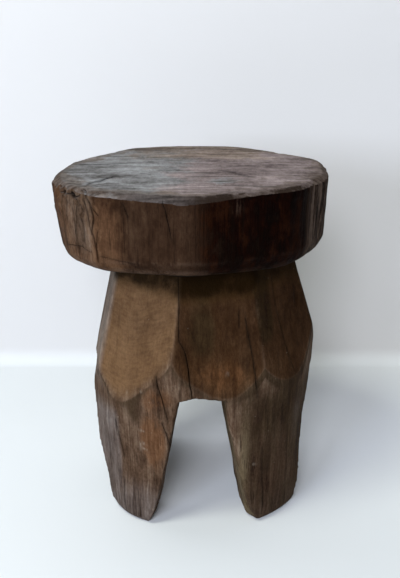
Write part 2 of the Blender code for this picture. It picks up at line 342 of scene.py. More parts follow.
def log_reach(bearing, height):
    """Reach of the log with its swells: bell curves, each with a spread in bearing and in height."""
    reach = round_reach(bearing, height)
    for more, centre, spread in LEG_SWELLS:
        reach = reach + more * spot(bearing, height, centre, spread)
    return reach


def leg_reach(bearing, height):
    """Reach of the log with flats down its legs, each a little inside the log at its own bearing."""
    reach = log_reach(bearing, height)
    for facing, depth in LEG_FLATS:
        straight = log_reach(np.array(facing), height) - depth
        reach = soft_least(reach, straight / turn_from(facing, bearing), ARRIS_BLEND)
    return reach


def block_reach(bearing, height):
    """Distance from the block's axis to its outside: the soft least of the legs and the shoulder flats."""
    reach = leg_reach(bearing, height)
    for flat in flat_reaches(bearing, height):
        reach = soft_least(reach, flat, ARRIS_BLEND)
    return reach - TOE_ROUND * np.clip(1.0 - height / TOE_HEIGHT, 0.0, 1.0) ** 2


def block_rings():
    """Rings of the whole block: up the outside from foot to neck, with a short row over each end."""
    bearing = np.linspace(-180.0, 180.0, BLOCK_COLUMNS, endpoint=False)
    height = np.concatenate([[0.0], np.linspace(0.0, BLOCK_TOP, BLOCK_ROWS), [BLOCK_TOP]])
    share = np.ones_like(height)
    share[[0, -1]] = END_SHARE
    around, up = np.meshgrid(bearing, height)
    return point_at(BLOCK_AXIS, around, block_reach(around, up) * share[:, None], up)


block = skin("leg_block_carved", block_rings())
print("block rings:", len(block.data.vertices), "points")

# %% [markdown]
# ## The channels that part the legs
# Two channels cross under the block. Each is wide at the floor and narrow above, under a slightly peaked
# ceiling. A section is carried along the channel's length, and it breathes a little on the way, because it
# was cut with a hand tool. The right front leg has its inner edge taken off in a long chamfer, so there the
# mouth flares.

# %% The channels that part the legs
CHANNEL_HEIGHT, CHANNEL_PEAK, CHANNEL_PEAK_SHIFT = 0.176, 0.005, -0.008
CHANNEL_FOOT_HALF, CHANNEL_TOP_HALF = 0.058, 0.025
CHANNEL_RUN, CHANNEL_BELOW = 0.165, 0.012
TOE_FLARE, TOE_FLARE_HEIGHT = 0.003, 0.008
RUN_STEPS, WALL_STEPS, CEILING_STEPS = 110, 60, 15
WALL_DRIFT = ((0.0010, 0.035, 1), (0.0005, 0.012, 2))
CEILING_DRIFT = (0.0006, 0.02, 3)


def channel_half(height):
    """Half of a channel's width: a straight taper from floor to ceiling."""
    return CHANNEL_FOOT_HALF + (CHANNEL_TOP_HALF - CHANNEL_FOOT_HALF) * height / CHANNEL_HEIGHT


def channel_rings(along, mouth):
    """Rings of one channel's cutter: a section of two walls and a ceiling, carried along a level path.

    A wall stands off the middle by the half width, and flares a little at the floor. mouth(run, height,
    side) adds to each wall, and a wander of 1 mm moves both.
    """
    run = np.linspace(-CHANNEL_RUN, CHANNEL_RUN, RUN_STEPS)
    wall = np.linspace(-CHANNEL_BELOW, CHANNEL_HEIGHT, WALL_STEPS)
    ceiling = np.linspace(-1.0, 1.0, CEILING_STEPS)[1:-1]
    half = channel_half(wall) + TOE_FLARE * np.clip(1.0 - wall / TOE_FLARE_HEIGHT, 0.0, 1.0) ** 2
    peak_at = CHANNEL_PEAK_SHIFT / CHANNEL_TOP_HALF
    arch = np.interp(ceiling, [-1.0, peak_at, 1.0], [0.0, CHANNEL_PEAK, 0.0]) + CHANNEL_HEIGHT
    across = np.concatenate([-half, ceiling * CHANNEL_TOP_HALF, half[::-1]])
    height = np.concatenate([wall, arch, wall[::-1]])
    across, place = np.meshgrid(across, run)
    height = np.broadcast_to(height, across.shape)
    side = np.clip(across / CHANNEL_TOP_HALF, -1.0, 1.0)
    across = across + mouth(place, height, side) * side
    level = np.stack([across, place] if along == "Y" else [place, across], axis=-1)
    rings = BLOCK_AXIS + np.concatenate([level, height[..., None]], axis=-1)
    rings[..., 0 if along == "Y" else 1] += rough(rings, *WALL_DRIFT) * side
    rings[..., 2] += rough(rings, CEILING_DRIFT) * (np.abs(across) < CHANNEL_TOP_HALF)
    return rings


# How far the walls draw in and where along the run, then the chamfer's sizes and the heights where its
# extra sizes for shin and toe run out.
DRAW_RIGHT, DRAW_LEFT = -0.0085, -0.0040
DRAW_START, DRAW_FULL, DRAW_END = -0.112, -0.050, 0.060
CHAMFER_BEARING, CHAMFER_LENGTH, CHAMFER_MOST, CHAMFER_LEFT = 20.0, 1.1, 1.6, 0.3
CHAMFER, CHAMFER_SHIN, CHAMFER_TOE = 0.0065, 0.0075, 0.0050
SHIN_TOP, TOE_TOP = 0.048, 0.022


def chamfered_mouth(run, height, side):
    """The front mouth: walls that draw in behind it, and a chamfer on the right one, largest at the toe."""
    drawn_in = np.where(side > 0.0, DRAW_RIGHT, DRAW_LEFT) * ease(run, DRAW_START, DRAW_FULL)
    drawn_in = drawn_in * (run < DRAW_END)
    outside = round_reach(np.array(CHAMFER_BEARING), height)
    front = -np.sqrt(np.clip(outside**2 - channel_half(height) ** 2, 0.0, None))
    size = CHAMFER + CHAMFER_SHIN * (1.0 - ease(height, 0.0, SHIN_TOP))
    size = size + CHAMFER_TOE * (1.0 - ease(height, 0.0, TOE_TOP))
    length = size * CHAMFER_LENGTH
    chamfer = size * np.clip((front + length - run) / length, 0.0, CHAMFER_MOST)
    return drawn_in + np.where(side > 0.0, chamfer, CHAMFER_LEFT * chamfer)


def plain_mouth(run, height, side):
    """A mouth with no flare."""
    return np.zeros_like(run)


channels = [
    skin("channel_front_to_back", channel_rings("Y", chamfered_mouth)),
    skin("channel_side_to_side", channel_rings("X", plain_mouth)),
]
combine(block, channels, "DIFFERENCE", "EXACT")
print("legs parted:", len(block.data.polygons), "faces")

# %% [markdown]
# ## Wear and hewing on the block
# Sharp CAD edges don't look old. The block is remeshed in even cells and smoothed, so its edges round off
# as hands and floors round them. Then every point moves along its normal by a small field: broad blade
# strokes on the legs, very little on the flats, and nothing on the top, which carries the seat.

# %% Wear and hewing on the block
BLOCK_CELL, BLOCK_MOST, WEAR_ROUNDS = 0.0016, 172000, 4
BROAD_STROKES, FINE_STROKES = (0.0013, (0.024, 0.024, 0.045), 4), (0.0005, (0.008, 0.008, 0.026), 5)
# Each dent: its bearing, its height, its size (along x, y and z) and its depth.
BLOCK_DENTS = (
    (-37.0, 0.152, (0.008, 0.008, 0.014), 0.0012),
    (-31.5, 0.026, (0.006, 0.006, 0.009), 0.0020),
    (64.5, 0.274, (0.004, 0.004, 0.009), 0.0014),
)
LEG_FADE, FOOT_STILL = (0.15, 0.22), (0.0005, 0.006)
TOP_STILL = (BLOCK_TOP - 0.010, BLOCK_TOP - 0.003)
STROKES_ABOVE, FINE_STROKES_ABOVE = 0.25, 0.4
wear_down(block, BLOCK_CELL, WEAR_ROUNDS)


def on_block(bearing, height):
    """The point of the block's outside at a bearing and a height."""
    bearing, height = np.asarray(bearing, float), np.asarray(height, float)
    return point_at(BLOCK_AXIS, bearing, block_reach(bearing, height), height)


def dent_depth(points, dents, surface):
    """Depth of soft dents in a surface at each point: bell curves with one size, or one along each axis."""
    total = np.zeros(len(points))
    for bearing, height, size, depth in dents:
        away = (points - surface(bearing, height)) / size
        total += depth * np.exp(-(away * away).sum(axis=-1))
    return total


points = points_of(block)
height = points[:, 2]
leg = 1.0 - ease(height, *LEG_FADE)
free = (1.0 - ease(height, *TOP_STILL)) * ease(height, *FOOT_STILL)
strokes = rough(points, BROAD_STROKES) * (STROKES_ABOVE + (1.0 - STROKES_ABOVE) * leg)
strokes += rough(points, FINE_STROKES) * (FINE_STROKES_ABOVE + (1.0 - FINE_STROKES_ABOVE) * leg)
dents = dent_depth(points, BLOCK_DENTS, on_block)
move_points(block, points + normals_of(block) * ((strokes - dents) * free)[:, None])
thin_out(block, BLOCK_MOST)
print("block worn:", len(block.data.polygons), "cells")

# %% [markdown]
# ## Drying cracks
# As a log dries, it splits along its fibres. A crack is cut here as a blade would cut it: a narrow
# three-cornered section carried along the crack's route, wandering a little from side to side and running
# out at both ends. Each blade is taken out of the piece, so a crack has real walls that hold a shadow from
# every side. A blade takes three layers of the random field, so no two cracks wander alike.

# %% Drying cracks
CRACK_STEPS, CRACK_PROUD = 60, 0.003
METRES_PER_DEGREE = 0.0023


def blade(name, spine, outward, width, depth, layer):
    """A crack's cutter: a V section carried along a spine that lies on a surface.

    The V is width wide at the surface and depth deep, stands a little proud, narrows to both ends as the
    fourth root of 4t(1 - t), and shifts sideways by a wander.
    """
    steps = np.linspace(0.0, 1.0, len(spine))
    along = np.gradient(spine, axis=0)
    along /= np.linalg.norm(along, axis=1, keepdims=True)
    side = np.cross(along, outward)
    side /= np.linalg.norm(side, axis=1, keepdims=True)
    taper = np.clip(4.0 * steps * (1.0 - steps), 0.02, 1.0) ** 0.25
    shift = rough(spine, (0.0006, 0.010, layer), (0.0002, 0.003, layer + 1))
    spine = spine + side * shift[:, None]
    half = 0.5 * width * taper * (1.0 + 0.5 * wander(spine, 0.008, layer + 2))
    deep = depth * taper
    lip = (half * (1.0 + CRACK_PROUD / deep))[:, None] * side
    top = spine + outward * CRACK_PROUD
    rings = np.stack([top + lip, top - lip, spine - outward * deep[:, None]], axis=1)
    return skin(name, rings)


def follow(route):
    """Even steps along a route of (bearing, metres) pairs, a degree counting as its run on the surface."""
    route = np.array(route)
    turn, rise = np.diff(route, axis=0).T
    length = np.concatenate([[0.0], np.cumsum(np.hypot(turn * METRES_PER_DEGREE, rise))])
    step = np.linspace(0.0, length[-1], CRACK_STEPS)
    return np.interp(step, length, route[:, 0]), np.interp(step, length, route[:, 1])


def surface_crack(surface, name, route, width, depth, layer):
    """A blade along a route of (bearing, height) pairs on a surface."""
    bearing, height = follow(route)
    return blade(name, surface(bearing, height), heading(bearing), width, depth, layer)


# Each crack: its name, its route of (bearing, height) pairs, its width and its depth.
BLOCK_CRACKS = (
    ("crack_left_arris", ((-13.3, 0.3215), (-12.2, 0.2948), (-11.5, 0.2498), (-8.4, 0.237)), 0.0007, 0.006),
    ("crack_over_arch", ((-8.6, 0.2375), (-6.8, 0.2189), (-5.8, 0.199), (-4.6, 0.179)), 0.0012, 0.014),
    ("crack_left_leg", ((-23.2, 0.2047), (-22.3, 0.1949), (-19.7, 0.1755), (-17.7, 0.1514)), 0.0012, 0.012),
    ("crack_left_leg_low", ((-20.8, 0.1469), (-19.0, 0.1344), (-17.2, 0.1169)), 0.001, 0.01),
    ("crack_left_leg_side", ((-50.5, 0.131), (-48.0, 0.105), (-46.0, 0.086)), 0.0006, 0.004),
    ("crack_left_toe", ((-46.8, 0.052), (-47.3, 0.0272), (-46.6, 0.0072)), 0.0007, 0.005),
    (
        "crack_front",
        ((24.2, 0.27), (25.8, 0.2404), (26.8, 0.222), (27.7, 0.1939), (28.9, 0.1753)),
        0.0014,
        0.012,
    ),
    ("crack_front_thin", ((20.9, 0.279), (20.5, 0.26)), 0.0006, 0.004),
    (
        "crack_right",
        ((46.6, 0.3108), (45.6, 0.2958), (46.8, 0.2664), (50.7, 0.2209), (54.8, 0.1864)),
        0.0018,
        0.013,
    ),
    ("crack_right_leg", ((33.6, 0.1071), (34.9, 0.0671), (36.3, 0.0242)), 0.0006, 0.004),
    ("crack_side_right", ((88.0, 0.295), (90.0, 0.25), (91.5, 0.21)), 0.001, 0.009),
    ("crack_back_right", ((128.0, 0.165), (130.0, 0.12), (129.0, 0.08)), 0.001, 0.009),
    ("crack_back", ((178.0, 0.31), (176.0, 0.26), (178.5, 0.215), (177.0, 0.19)), 0.0012, 0.012),
    ("crack_back_left", ((-140.0, 0.23), (-138.0, 0.17), (-139.5, 0.12)), 0.0011, 0.01),
    ("crack_side_left", ((-96.0, 0.3), (-94.0, 0.255), (-95.5, 0.22)), 0.0009, 0.008),
)
blades = [surface_crack(on_block, *crack, layer=10 + 3 * index) for index, crack in enumerate(BLOCK_CRACKS)]
combine(block, blades, "DIFFERENCE")
print("block cracks:", len(BLOCK_CRACKS), "faces now:", len(block.data.polygons))

# %% [markdown]
# ## The tenon and its kerfs
# A round stub on the block's top goes up into the seat, with two sawn slots that hidden wedges spread. It
# can't be seen, but the piece stands for the whole node, so the stub and its slots are here as well.

# %% The tenon and its kerfs
TENON_RADIUS, TENON_LENGTH, TENON_ROOT = 0.040, 0.055, 0.012
TENON_TOP = BLOCK_TOP + TENON_LENGTH
KERF_OFFSET, KERF_DEPTH, KERF_HEAD, KERF_TIP = 0.016, 0.0423, 0.00305, 0.00105
KERF_RUN, KERF_ABOVE, KERF_STEPS = 0.05, 0.01, 12
STUB_COLUMNS, STUB_ROWS = 96, 24


def stub_rings(radius, low, high):
    """Rings of an upright cylinder about the block's axis."""
    bearing = np.linspace(-180.0, 180.0, STUB_COLUMNS, endpoint=False)
    around, up = np.meshgrid(bearing, np.linspace(low, high, STUB_ROWS))
    return point_at(BLOCK_AXIS, around, np.full_like(around, radius), up)


def kerf_rings(side):
    """Rings of a slot's cutter: a wedge section, wide above, carried from front to back across the stub."""
    half = [(KERF_TIP, -KERF_DEPTH), (KERF_HEAD, 0.0), (KERF_HEAD, KERF_ABOVE)]
    other_half = [(-across, up) for across, up in reversed(half)]
    section = np.array(other_half[-1:] + half + other_half[:-1])
    run, across = np.meshgrid(np.linspace(-KERF_RUN, KERF_RUN, KERF_STEPS), section[:, 0], indexing="ij")
    up = np.broadcast_to(section[:, 1], run.shape) + TENON_TOP
    return BLOCK_AXIS + np.stack([across + side * KERF_OFFSET, run, up], axis=-1)


combine(block, [skin("stub", stub_rings(TENON_RADIUS, BLOCK_TOP - TENON_ROOT, TENON_TOP))], "UNION")
combine(block, [skin(f"kerf_{side}", kerf_rings(side)) for side in (-1, 1)], "DIFFERENCE")
print("block with tenon:", drop_scraps(block), "points of scrap,", len(block.data.polygons), "faces")

# %% [markdown]
# ## The seat's outside
# The seat is a thick slice of log. Flats chopped off its rim leave soft corners, the upper front edge has
# worn down in a wide slope, and the rim draws in toward a rounded lower edge. All of these change with the
# bearing, so small tables give them, and one formula carries the section round.

# %% The seat's outside
SEAT_RADIUS = 0.168
# Each flat of the rim: the bearing it faces, its depth inside the circle and the blend at its corners.
SEAT_FLATS = (
    (-170.0, 0.0080, 0.010),
    (-125.0, 0.0200, 0.012),
    (-100.0, 0.0150, 0.010),
    (-76.0, 0.0095, 0.010),
    (-49.0, 0.0095, 0.010),
    (-20.0, 0.0135, 0.010),
    (28.0, 0.0225, 0.020),
    (60.0, 0.0145, 0.010),
    (85.0, 0.0090, 0.008),
    (136.0, 0.0105, 0.008),
    (165.0, 0.0050, 0.008),
)
TILT = 0.0014
# Each section: its bearing, the worn edge's width and drop, the rim's taper, the undercut's width and
# height, and the lift of the lower edge.
SEAT_SECTIONS = (
    (-150.0, 0.0060, 0.0040, 0.0050, 0.018, 0.018, 0.0000),
    (-110.0, 0.0080, 0.0065, 0.0070, 0.019, 0.016, 0.0000),
    (-90.0, 0.0110, 0.0125, 0.0085, 0.020, 0.014, 0.0000),
    (-65.0, 0.0090, 0.0090, 0.0080, 0.021, 0.012, 0.0005),
    (-45.0, 0.0070, 0.0060, 0.0035, 0.022, 0.015, 0.0028),
    (-20.0, 0.0120, 0.0050, 0.0025, 0.021, 0.018, 0.0060),
    (-3.0, 0.0210, 0.0065, 0.0020, 0.020, 0.018, 0.0092),
    (12.0, 0.0120, 0.0045, 0.0020, 0.020, 0.018, 0.0066),
    (30.0, 0.0070, 0.0040, 0.0020, 0.020, 0.020, 0.0032),
    (60.0, 0.0075, 0.0055, 0.0030, 0.019, 0.022, 0.0020),
    (90.0, 0.0090, 0.0080, 0.0045, 0.023, 0.022, 0.0000),
    (140.0, 0.0060, 0.0050, 0.0040, 0.020, 0.018, 0.0000),
)
UNDERCUT_START, UNDERCUT_END = 26.0, 82.0
SOFT_START, SLOPE_SHARE, ROUND_SHARE = 0.35, 0.6, 0.4
TAPER_POWER, WIDEST_TURN = 1.5, 0.5
SEAT_COLUMNS = 540
TOP_ROWS, EDGE_ROWS, RIM_ROWS, UNDERCUT_ROWS, UNDERSIDE_ROWS = 40, 14, 30, 16, 20


def rim_reach(bearing):
    """Distance from the seat's axis to its rim: the soft least of a circle and the chopped flats."""
    reach = np.full_like(bearing, SEAT_RADIUS)
    for facing, depth, blend in SEAT_FLATS:
        turn = np.cos(np.radians(bearing - facing))
        flat = (SEAT_RADIUS - depth) / np.maximum(turn, WIDEST_TURN)
        reach = np.where(turn > WIDEST_TURN, soft_least(reach, flat, blend), reach)
    return reach


def seat_section(bearing):
    """Sizes of the seat's section at bearings, read straight between the rows of a closed table."""
    rows = np.array(SEAT_SECTIONS)
    return [np.interp(bearing, rows[:, 0], column, period=360.0) for column in rows[:, 1:].T]


def seat_rings():
    """Rings of the seat: out over the top, down the worn edge, rim and undercut, and in along the underside.

    The worn edge is a slope with a soft start, steeper toward its outer lip. The rim draws in by its taper,
    as the power 1.5 of the way down. The undercut is part of an arc, so it starts at a soft arris, and the
    underside lifts a little at the front. The top tilts by 1.4 mm, high at the back.
    """
    bearing = np.linspace(-180.0, 180.0, SEAT_COLUMNS, endpoint=False)
    reach = rim_reach(bearing)
    width, drop, taper, under, tall, lift = seat_section(bearing)
    inner = reach - width
    back = -np.cos(np.radians(bearing)) / SEAT_RADIUS
    reaches = [inner * share for share in np.linspace(0.06, 0.98, TOP_ROWS)]
    heights = [SEAT_TOP + TILT * back * far for far in reaches]
    rim_high = SEAT_TOP + TILT * back * reach - drop
    for turn in np.radians(np.linspace(0.0, 90.0, EDGE_ROWS)):
        out = np.sin(turn)
        slope = (np.hypot(out, SOFT_START) - SOFT_START) / (np.hypot(1.0, SOFT_START) - SOFT_START)
        reaches.append(inner + width * out)
        heights.append(rim_high + drop * (1.0 - SLOPE_SHARE * slope - ROUND_SHARE * (1.0 - np.cos(turn))))
    rim_low = SEAT_BOTTOM + lift + tall
    for share in np.linspace(0.0, 1.0, RIM_ROWS)[1:-1]:
        reaches.append(reach - taper * share**TAPER_POWER)
        heights.append(rim_high + (rim_low - rim_high) * share)
    first, last = np.radians([UNDERCUT_START, UNDERCUT_END])
    for turn in np.linspace(first, last, UNDERCUT_ROWS):
        part = (np.cos(first) - np.cos(turn)) / (np.cos(first) - np.cos(last))
        fall = (np.sin(turn) - np.sin(first)) / (np.sin(last) - np.sin(first))
        reaches.append(reach - taper - under * part)
        heights.append(rim_low - tall * fall)
    edge = reach - taper - under
    for share in np.linspace(0.0, 1.0, UNDERSIDE_ROWS)[1:]:
        reaches.append(edge * (1.0 - 0.94 * share))
        heights.append(SEAT_BOTTOM + lift * np.clip(1.0 - share * 6.0, 0.0, 1.0))
    reach, height = np.array(reaches), np.array(heights)
    return point_at(SEAT_AXIS, np.broadcast_to(bearing, reach.shape), reach, height)


seat = skin("seat_hewn", seat_rings())
print("seat rings:", len(seat.data.vertices), "points")

# %% [markdown]
# ## Wear on the seat
# The seat is remeshed and smoothed like the block. Its top is dished a little by use and furrowed across,
# the rim has soft blade strokes that run up and down, the left upper edge is chipped in lumps, and the
# right rim is deeply furrowed along the grain where weather took the soft wood.

# %% Wear on the seat
SEAT_CELL, SEAT_MOST = 0.0013, 176000
RIM_SWELL, RIM_FURROWS = (0.0010, (0.030, 0.030, 0.055), 6), (0.0005, (0.0055, 0.0055, 0.060), 7)
DEEP_FURROWS = (0.0010, (0.0042, 0.0042, 0.050), 8)
TREAD, FINE_TREAD, DISH = (0.0007, (0.045, 0.016, 0.05), 9), (0.0003, (0.020, 0.0045, 0.05), 10), 0.0006
LUMPS = ((0.0022, 0.0085, 11), (0.0010, 0.0042, 12))
# Each chip out of the upper edge: its bearing, its height, its size and its depth.
CHIPS = (
    (-52.4, 0.4106, 0.0042, 0.0054),
    (-50.6, 0.4076, 0.0036, 0.0042),
    (-45.2, 0.4135, 0.0042, 0.0036),
    (-57.5, 0.4090, 0.0040, 0.0036),
    (-62.5, 0.4065, 0.0040, 0.0038),
    (-67.5, 0.4080, 0.0036, 0.0030),
    (-48.0, 0.4030, 0.0030, 0.0024),
    (-54.5, 0.3990, 0.0030, 0.0026),
    (132.0, 0.4160, 0.0060, 0.0040),
)
CROWN_SLOPE, SIDE_START = (0.45, 0.85), (SEAT_BOTTOM + 0.002, SEAT_BOTTOM + 0.012)
WEATHERED, LUMPY = (54.0, 62.0, 112.0, 130.0), (-84.0, -68.0, -46.0, -40.0)
LUMPY_HEIGHT, EDGE_HEIGHT, EDGE_LUMPS = (0.372, 0.402), (0.400, 0.409), 0.35
wear_down(seat, SEAT_CELL, WEAR_ROUNDS)


def on_rim(bearing, height):
    """The point of the seat's rim at a bearing and a height."""
    bearing, height = np.asarray(bearing, float), np.asarray(height, float)
    return point_at(SEAT_AXIS, bearing, rim_reach(bearing), height)


points, facing = points_of(seat), normals_of(seat)
bearing, height = bearing_of(points, SEAT_AXIS), points[:, 2]
crown = ease(facing[:, 2], *CROWN_SLOPE)
side = (1.0 - crown) * ease(height, *SIDE_START)
swell = rough(points, RIM_SWELL) * side
furrows = rough(points, RIM_FURROWS) * side
furrows += rough(points, DEEP_FURROWS) * side * plateau(bearing, *WEATHERED)
tread = (rough(points, TREAD) - DISH) * crown
tread += rough(points, FINE_TREAD) * crown
lumpy = plateau(bearing, *LUMPY) * ease(height, *LUMPY_HEIGHT)
lumpy = np.maximum(lumpy * (1.0 - 0.5 * crown), EDGE_LUMPS * ease(height, *EDGE_HEIGHT) * (1.0 - crown))
furrows += rough(points, *LUMPS) * lumpy
chips = dent_depth(points, CHIPS, on_rim)
move_points(seat, points + facing * (swell + furrows + tread - chips)[:, None])
thin_out(seat, SEAT_MOST)
print("seat worn:", len(seat.data.polygons), "cells")

# %% [markdown]
# ## The seat's cracks
# One wide split runs down the left corner of the rim from a chip in the top edge, and carries on over the
# top as a dark line. Finer ones run down the front, and two thin lines cross the top.

# %% The seat's cracks
def top_crack(name, route, width, depth, layer):
    """A blade along a route of (bearing, reach) pairs over the seat's top, straight between the pairs."""
    route = np.array(route)
    steps = np.linspace(0.0, len(route) - 1.0, CRACK_STEPS)
    place = SEAT_AXIS + heading(route[:, 0]) * route[:, 1:]
    spine = np.stack([np.interp(steps, np.arange(len(route)), place[:, axis]) for axis in range(3)], axis=-1)
    spine[:, 2] = SEAT_TOP
    return blade(name, spine, np.broadcast_to(UP, spine.shape), width, depth, layer)


RIM_CRACKS = (
    (
        "split_high",
        ((-45.4, 0.418), (-42.3, 0.415), (-39.6, 0.4044), (-38.1, 0.3934), (-38.4, 0.384)),
        0.0034,
        0.014,
    ),
    (
        "split_low",
        ((-38.2, 0.39), (-39.5, 0.3765), (-38.6, 0.37), (-37.9, 0.3605), (-37.4, 0.344)),
        0.003,
        0.012,
    ),
    ("split_left", ((-43.0, 0.408), (-41.0, 0.395), (-40.6, 0.383), (-39.4, 0.372)), 0.0016, 0.008),
    ("split_right", ((-36.6, 0.378), (-37.4, 0.366), (-38.0, 0.356)), 0.0012, 0.006),
    ("split_branch", ((-39.8, 0.405), (-37.5, 0.399), (-35.6, 0.394)), 0.0013, 0.006),
    (
        "crack_rim_front",
        ((-9.8, 0.4165), (-8.4, 0.407), (-7.6, 0.3964), (-6.8, 0.3859), (-6.2, 0.376)),
        0.0009,
        0.006,
    ),
    ("crack_rim_short", ((-25.0, 0.409), (-24.5, 0.4056), (-23.5, 0.3977), (-23.2, 0.395)), 0.001, 0.006),
    ("crack_rim_left", ((-48.6, 0.401), (-49.0, 0.3833), (-50.5, 0.369)), 0.0011, 0.008),
    (
        "crack_chips",
        ((-60.0, 0.4085), (-56.0, 0.41), (-52.4, 0.4095), (-49.0, 0.407), (-45.5, 0.4115)),
        0.0018,
        0.006,
    ),
    ("crack_chip_down", ((-56.0, 0.406), (-55.2, 0.394), (-56.2, 0.38)), 0.001, 0.006),
    ("crack_left_fine", ((-44.6, 0.388), (-44.0, 0.374), (-44.8, 0.362)), 0.0008, 0.005),
    ("ledge_left", ((-60.0, 0.35), (-54.0, 0.353), (-47.5, 0.3555), (-40.5, 0.353)), 0.001, 0.01),
    ("ledge_front", ((-36.0, 0.3506), (-29.4, 0.349), (-21.0, 0.347)), 0.0007, 0.009),
    ("crack_rim_far_left", ((-69.0, 0.406), (-68.0, 0.39), (-68.5, 0.37)), 0.0007, 0.005),
    ("crack_rim_right", ((66.5, 0.408), (66.0, 0.385), (66.8, 0.36)), 0.0009, 0.007),
    ("crack_rim_side", ((92.0, 0.41), (93.0, 0.385), (92.0, 0.355)), 0.0011, 0.01),
    ("crack_rim_back", ((158.0, 0.412), (157.0, 0.385), (158.5, 0.35)), 0.0012, 0.012),
    ("crack_rim_back_left", ((-128.0, 0.412), (-127.0, 0.39), (-128.0, 0.365)), 0.0009, 0.008),
)
# Over the top, a route's pairs are (bearing, reach).
TOP_CRACKS = (
    ("split_top_left", ((-50.1, 0.145), (-53.4, 0.1257), (-55.2, 0.1104), (-63.5, 0.091)), 0.0022, 0.006),
    ("line_top_back", ((-98.1, 0.1411), (-101.3, 0.1117), (-109.8, 0.083)), 0.0024, 0.006),
    ("line_top_right", ((69.5, 0.0403), (58.7, 0.062), (53.7, 0.0839)), 0.0014, 0.004),
)
MORTISE_BELOW = 0.010
blades = [surface_crack(on_rim, *crack, layer=70 + 3 * index) for index, crack in enumerate(RIM_CRACKS)]
blades += [top_crack(*crack, layer=120 + 3 * index) for index, crack in enumerate(TOP_CRACKS)]
combine(seat, blades, "DIFFERENCE")
bore = stub_rings(TENON_RADIUS + CLEARANCE, BLOCK_TOP - MORTISE_BELOW, TENON_TOP + CLEARANCE)
combine(seat, [skin("mortise", bore)], "DIFFERENCE")
print("seat cracked and bored:", drop_scraps(seat), "points of scrap,", len(seat.data.polygons), "faces")

# %% [markdown]
# ## Where each finish lies
# The finishes change over the pieces in ways that follow the shape: rubbed arrises with a painted highlight,
# dirt and painted shade under the seat, dry grey faces, painted shade in the cracks. Numpy knows the shape,
# so it writes each of these as one number per point, and the materials read them by name.

# %% Where each finish lies on the block
CRACK_RADIUS_BLOCK, CRACK_RADIUS_SEAT = 0.13, 0.155
EDGE_WIDTH = 0.0012
LEFT_FLAT, RIGHT_FLAT = 7, 1
# Each spot: its weight, its bearing and height, and its spread in both.
BLOCK_WARM = (
    (0.50, (12.0, 0.206), (20.0, 0.028)),
    (1.0, (-27.0, 0.120), (8.0, 0.042)),
    (0.8, (-22.0, 0.178), (9.0, 0.018)),
    (0.7, (-68.0, 0.200), (8.0, 0.025)),
)
# The dark spots: the second is a dark blotch in the wood; the others are painted shade, in two dents, under
# the seat's overhang and on the right leg's upper part.
BLOCK_DARK = (
    (0.8, (-37.0, 0.150), (4.0, 0.020)),
    (1.1, (0.0, 0.258), (8.0, 0.032)),
    (1.0, (65.0, 0.275), (2.2, 0.010)),
    (0.7, (8.0, 0.315), (22.0, 0.020)),
    (0.5, (45.0, 0.150), (12.0, 0.020)),
)
LEVEL_SCUFF, UPRIGHT_SCUFF = (2.0, 0.0008), (0.6, 0.0014)
LEVEL_SCUFFS = (
    (-34.0, 0.1105), (-31.5, 0.1120), (-32.6, 0.1295), (-32.0, 0.1050), (21.2, 0.1606), (28.5, 0.0860)
)
UPRIGHT_SCUFFS = (
    (-70.6, 0.1754), (-42.2, 0.1727), (-32.2, 0.1811), (13.5, 0.2084), (-28.0, 0.0230), (26.0, 0.0330)
)
# Ramps are pairs: where a zone starts and where it is full, in metres or degrees. Four values are the
# bearings where a zone starts, is full, fades and ends. Shares say how strong a zone is.
SKIN_DEPTHS = (0.004, 0.009)
FLAT_RAMP, TAN_RAMP, RIGHT_FLAT_FADE = (-0.0004, 0.0010), (-0.0010, 0.0050), 0.0008
LIP_SHARE, LIP_LEFT_SHARE, LIP_BEARINGS = 0.12, 0.10, (30.0, -10.0)
CONTACT_SHARE, CONTACT_HEIGHTS = 1.2, (0.280, 0.3130)
CONTACT_LOSS, CONTACT_BEARINGS = 0.35, (24.0, 40.0)
CHANNEL_DIRT_AND_SHADE, CHANNEL_HEIGHTS = 0.5, (0.05, 0.17)
FOLD_BEND, FOLD_LENGTH, FOLD_BOTH_SIDES, FOLD_ONE_SIDE = 0.012, 0.06, 0.7, 0.3
SLIVER_BEARINGS, SLIVER_HEIGHTS = (-116.0, -88.0, -66.0, -62.0), (0.15, 0.20)
LEFT_BAND_BEARINGS, LEFT_BAND_HEIGHTS = (-112.0, -84.0, -51.0, -45.0), (0.13, 0.165)
RIGHT_BAND = ((59.5, 0.135), (4.5, 0.045))
TOE_HEIGHTS, LEFT_TOES, RIGHT_TOES = (0.015, 0.085), 1.3, 0.5
LEFT_BAND_SHARE, RIGHT_BAND_SHARE, TOE_SHARE = 0.7, 0.6, 0.6
FLAT_DARK, FLAT_DARK_BEARINGS, FLAT_DARK_HEIGHTS = 2.0, (45.0, 38.0), (0.225, 0.265)
LEG_DARK, LEG_DARK_BEARINGS, LEG_DARK_HEIGHTS = 0.67, (16.0, 30.0, 75.0, 95.0), (0.16, 0.20)
BELOW_LIP_DARK, BELOW_LIP_HEIGHTS, BELOW_LIP_FADE = 0.75, (0.120, 0.150), 0.0030
LIP_DARK, LIP_DARK_BEARINGS = 1.3, (20.0, 32.0, 78.0, 90.0)
LIP_DARK_DROP, LIP_DARK_WIDTH = 0.0014, 0.0008
STRIP_X, STRIP_Y, STRIP_SPOT = (0.030, 0.040), (-0.075, -0.045), ((23.0, 0.090), (3.0, 0.070))
BLOCK_CLEFT_REACH, BLOCK_CLEFT_DEPTHS = 0.0028, (0.0012, 0.0030)
BLOCK_CLEFT_HALO, BLOCK_CLEFT_FADE = 0.62, 0.0013


def by_routes(around, up, cracks, radius):
    """Distance in metres from each (bearing, height) to the nearest crack route, at one radius for all."""
    nearest = np.full(len(around), 1.0)
    for _, route, _, _ in cracks:
        for place, level in zip(*follow(route)):
            nearest = np.minimum(nearest, np.hypot(np.radians(around - place) * radius, up - level))
    return nearest


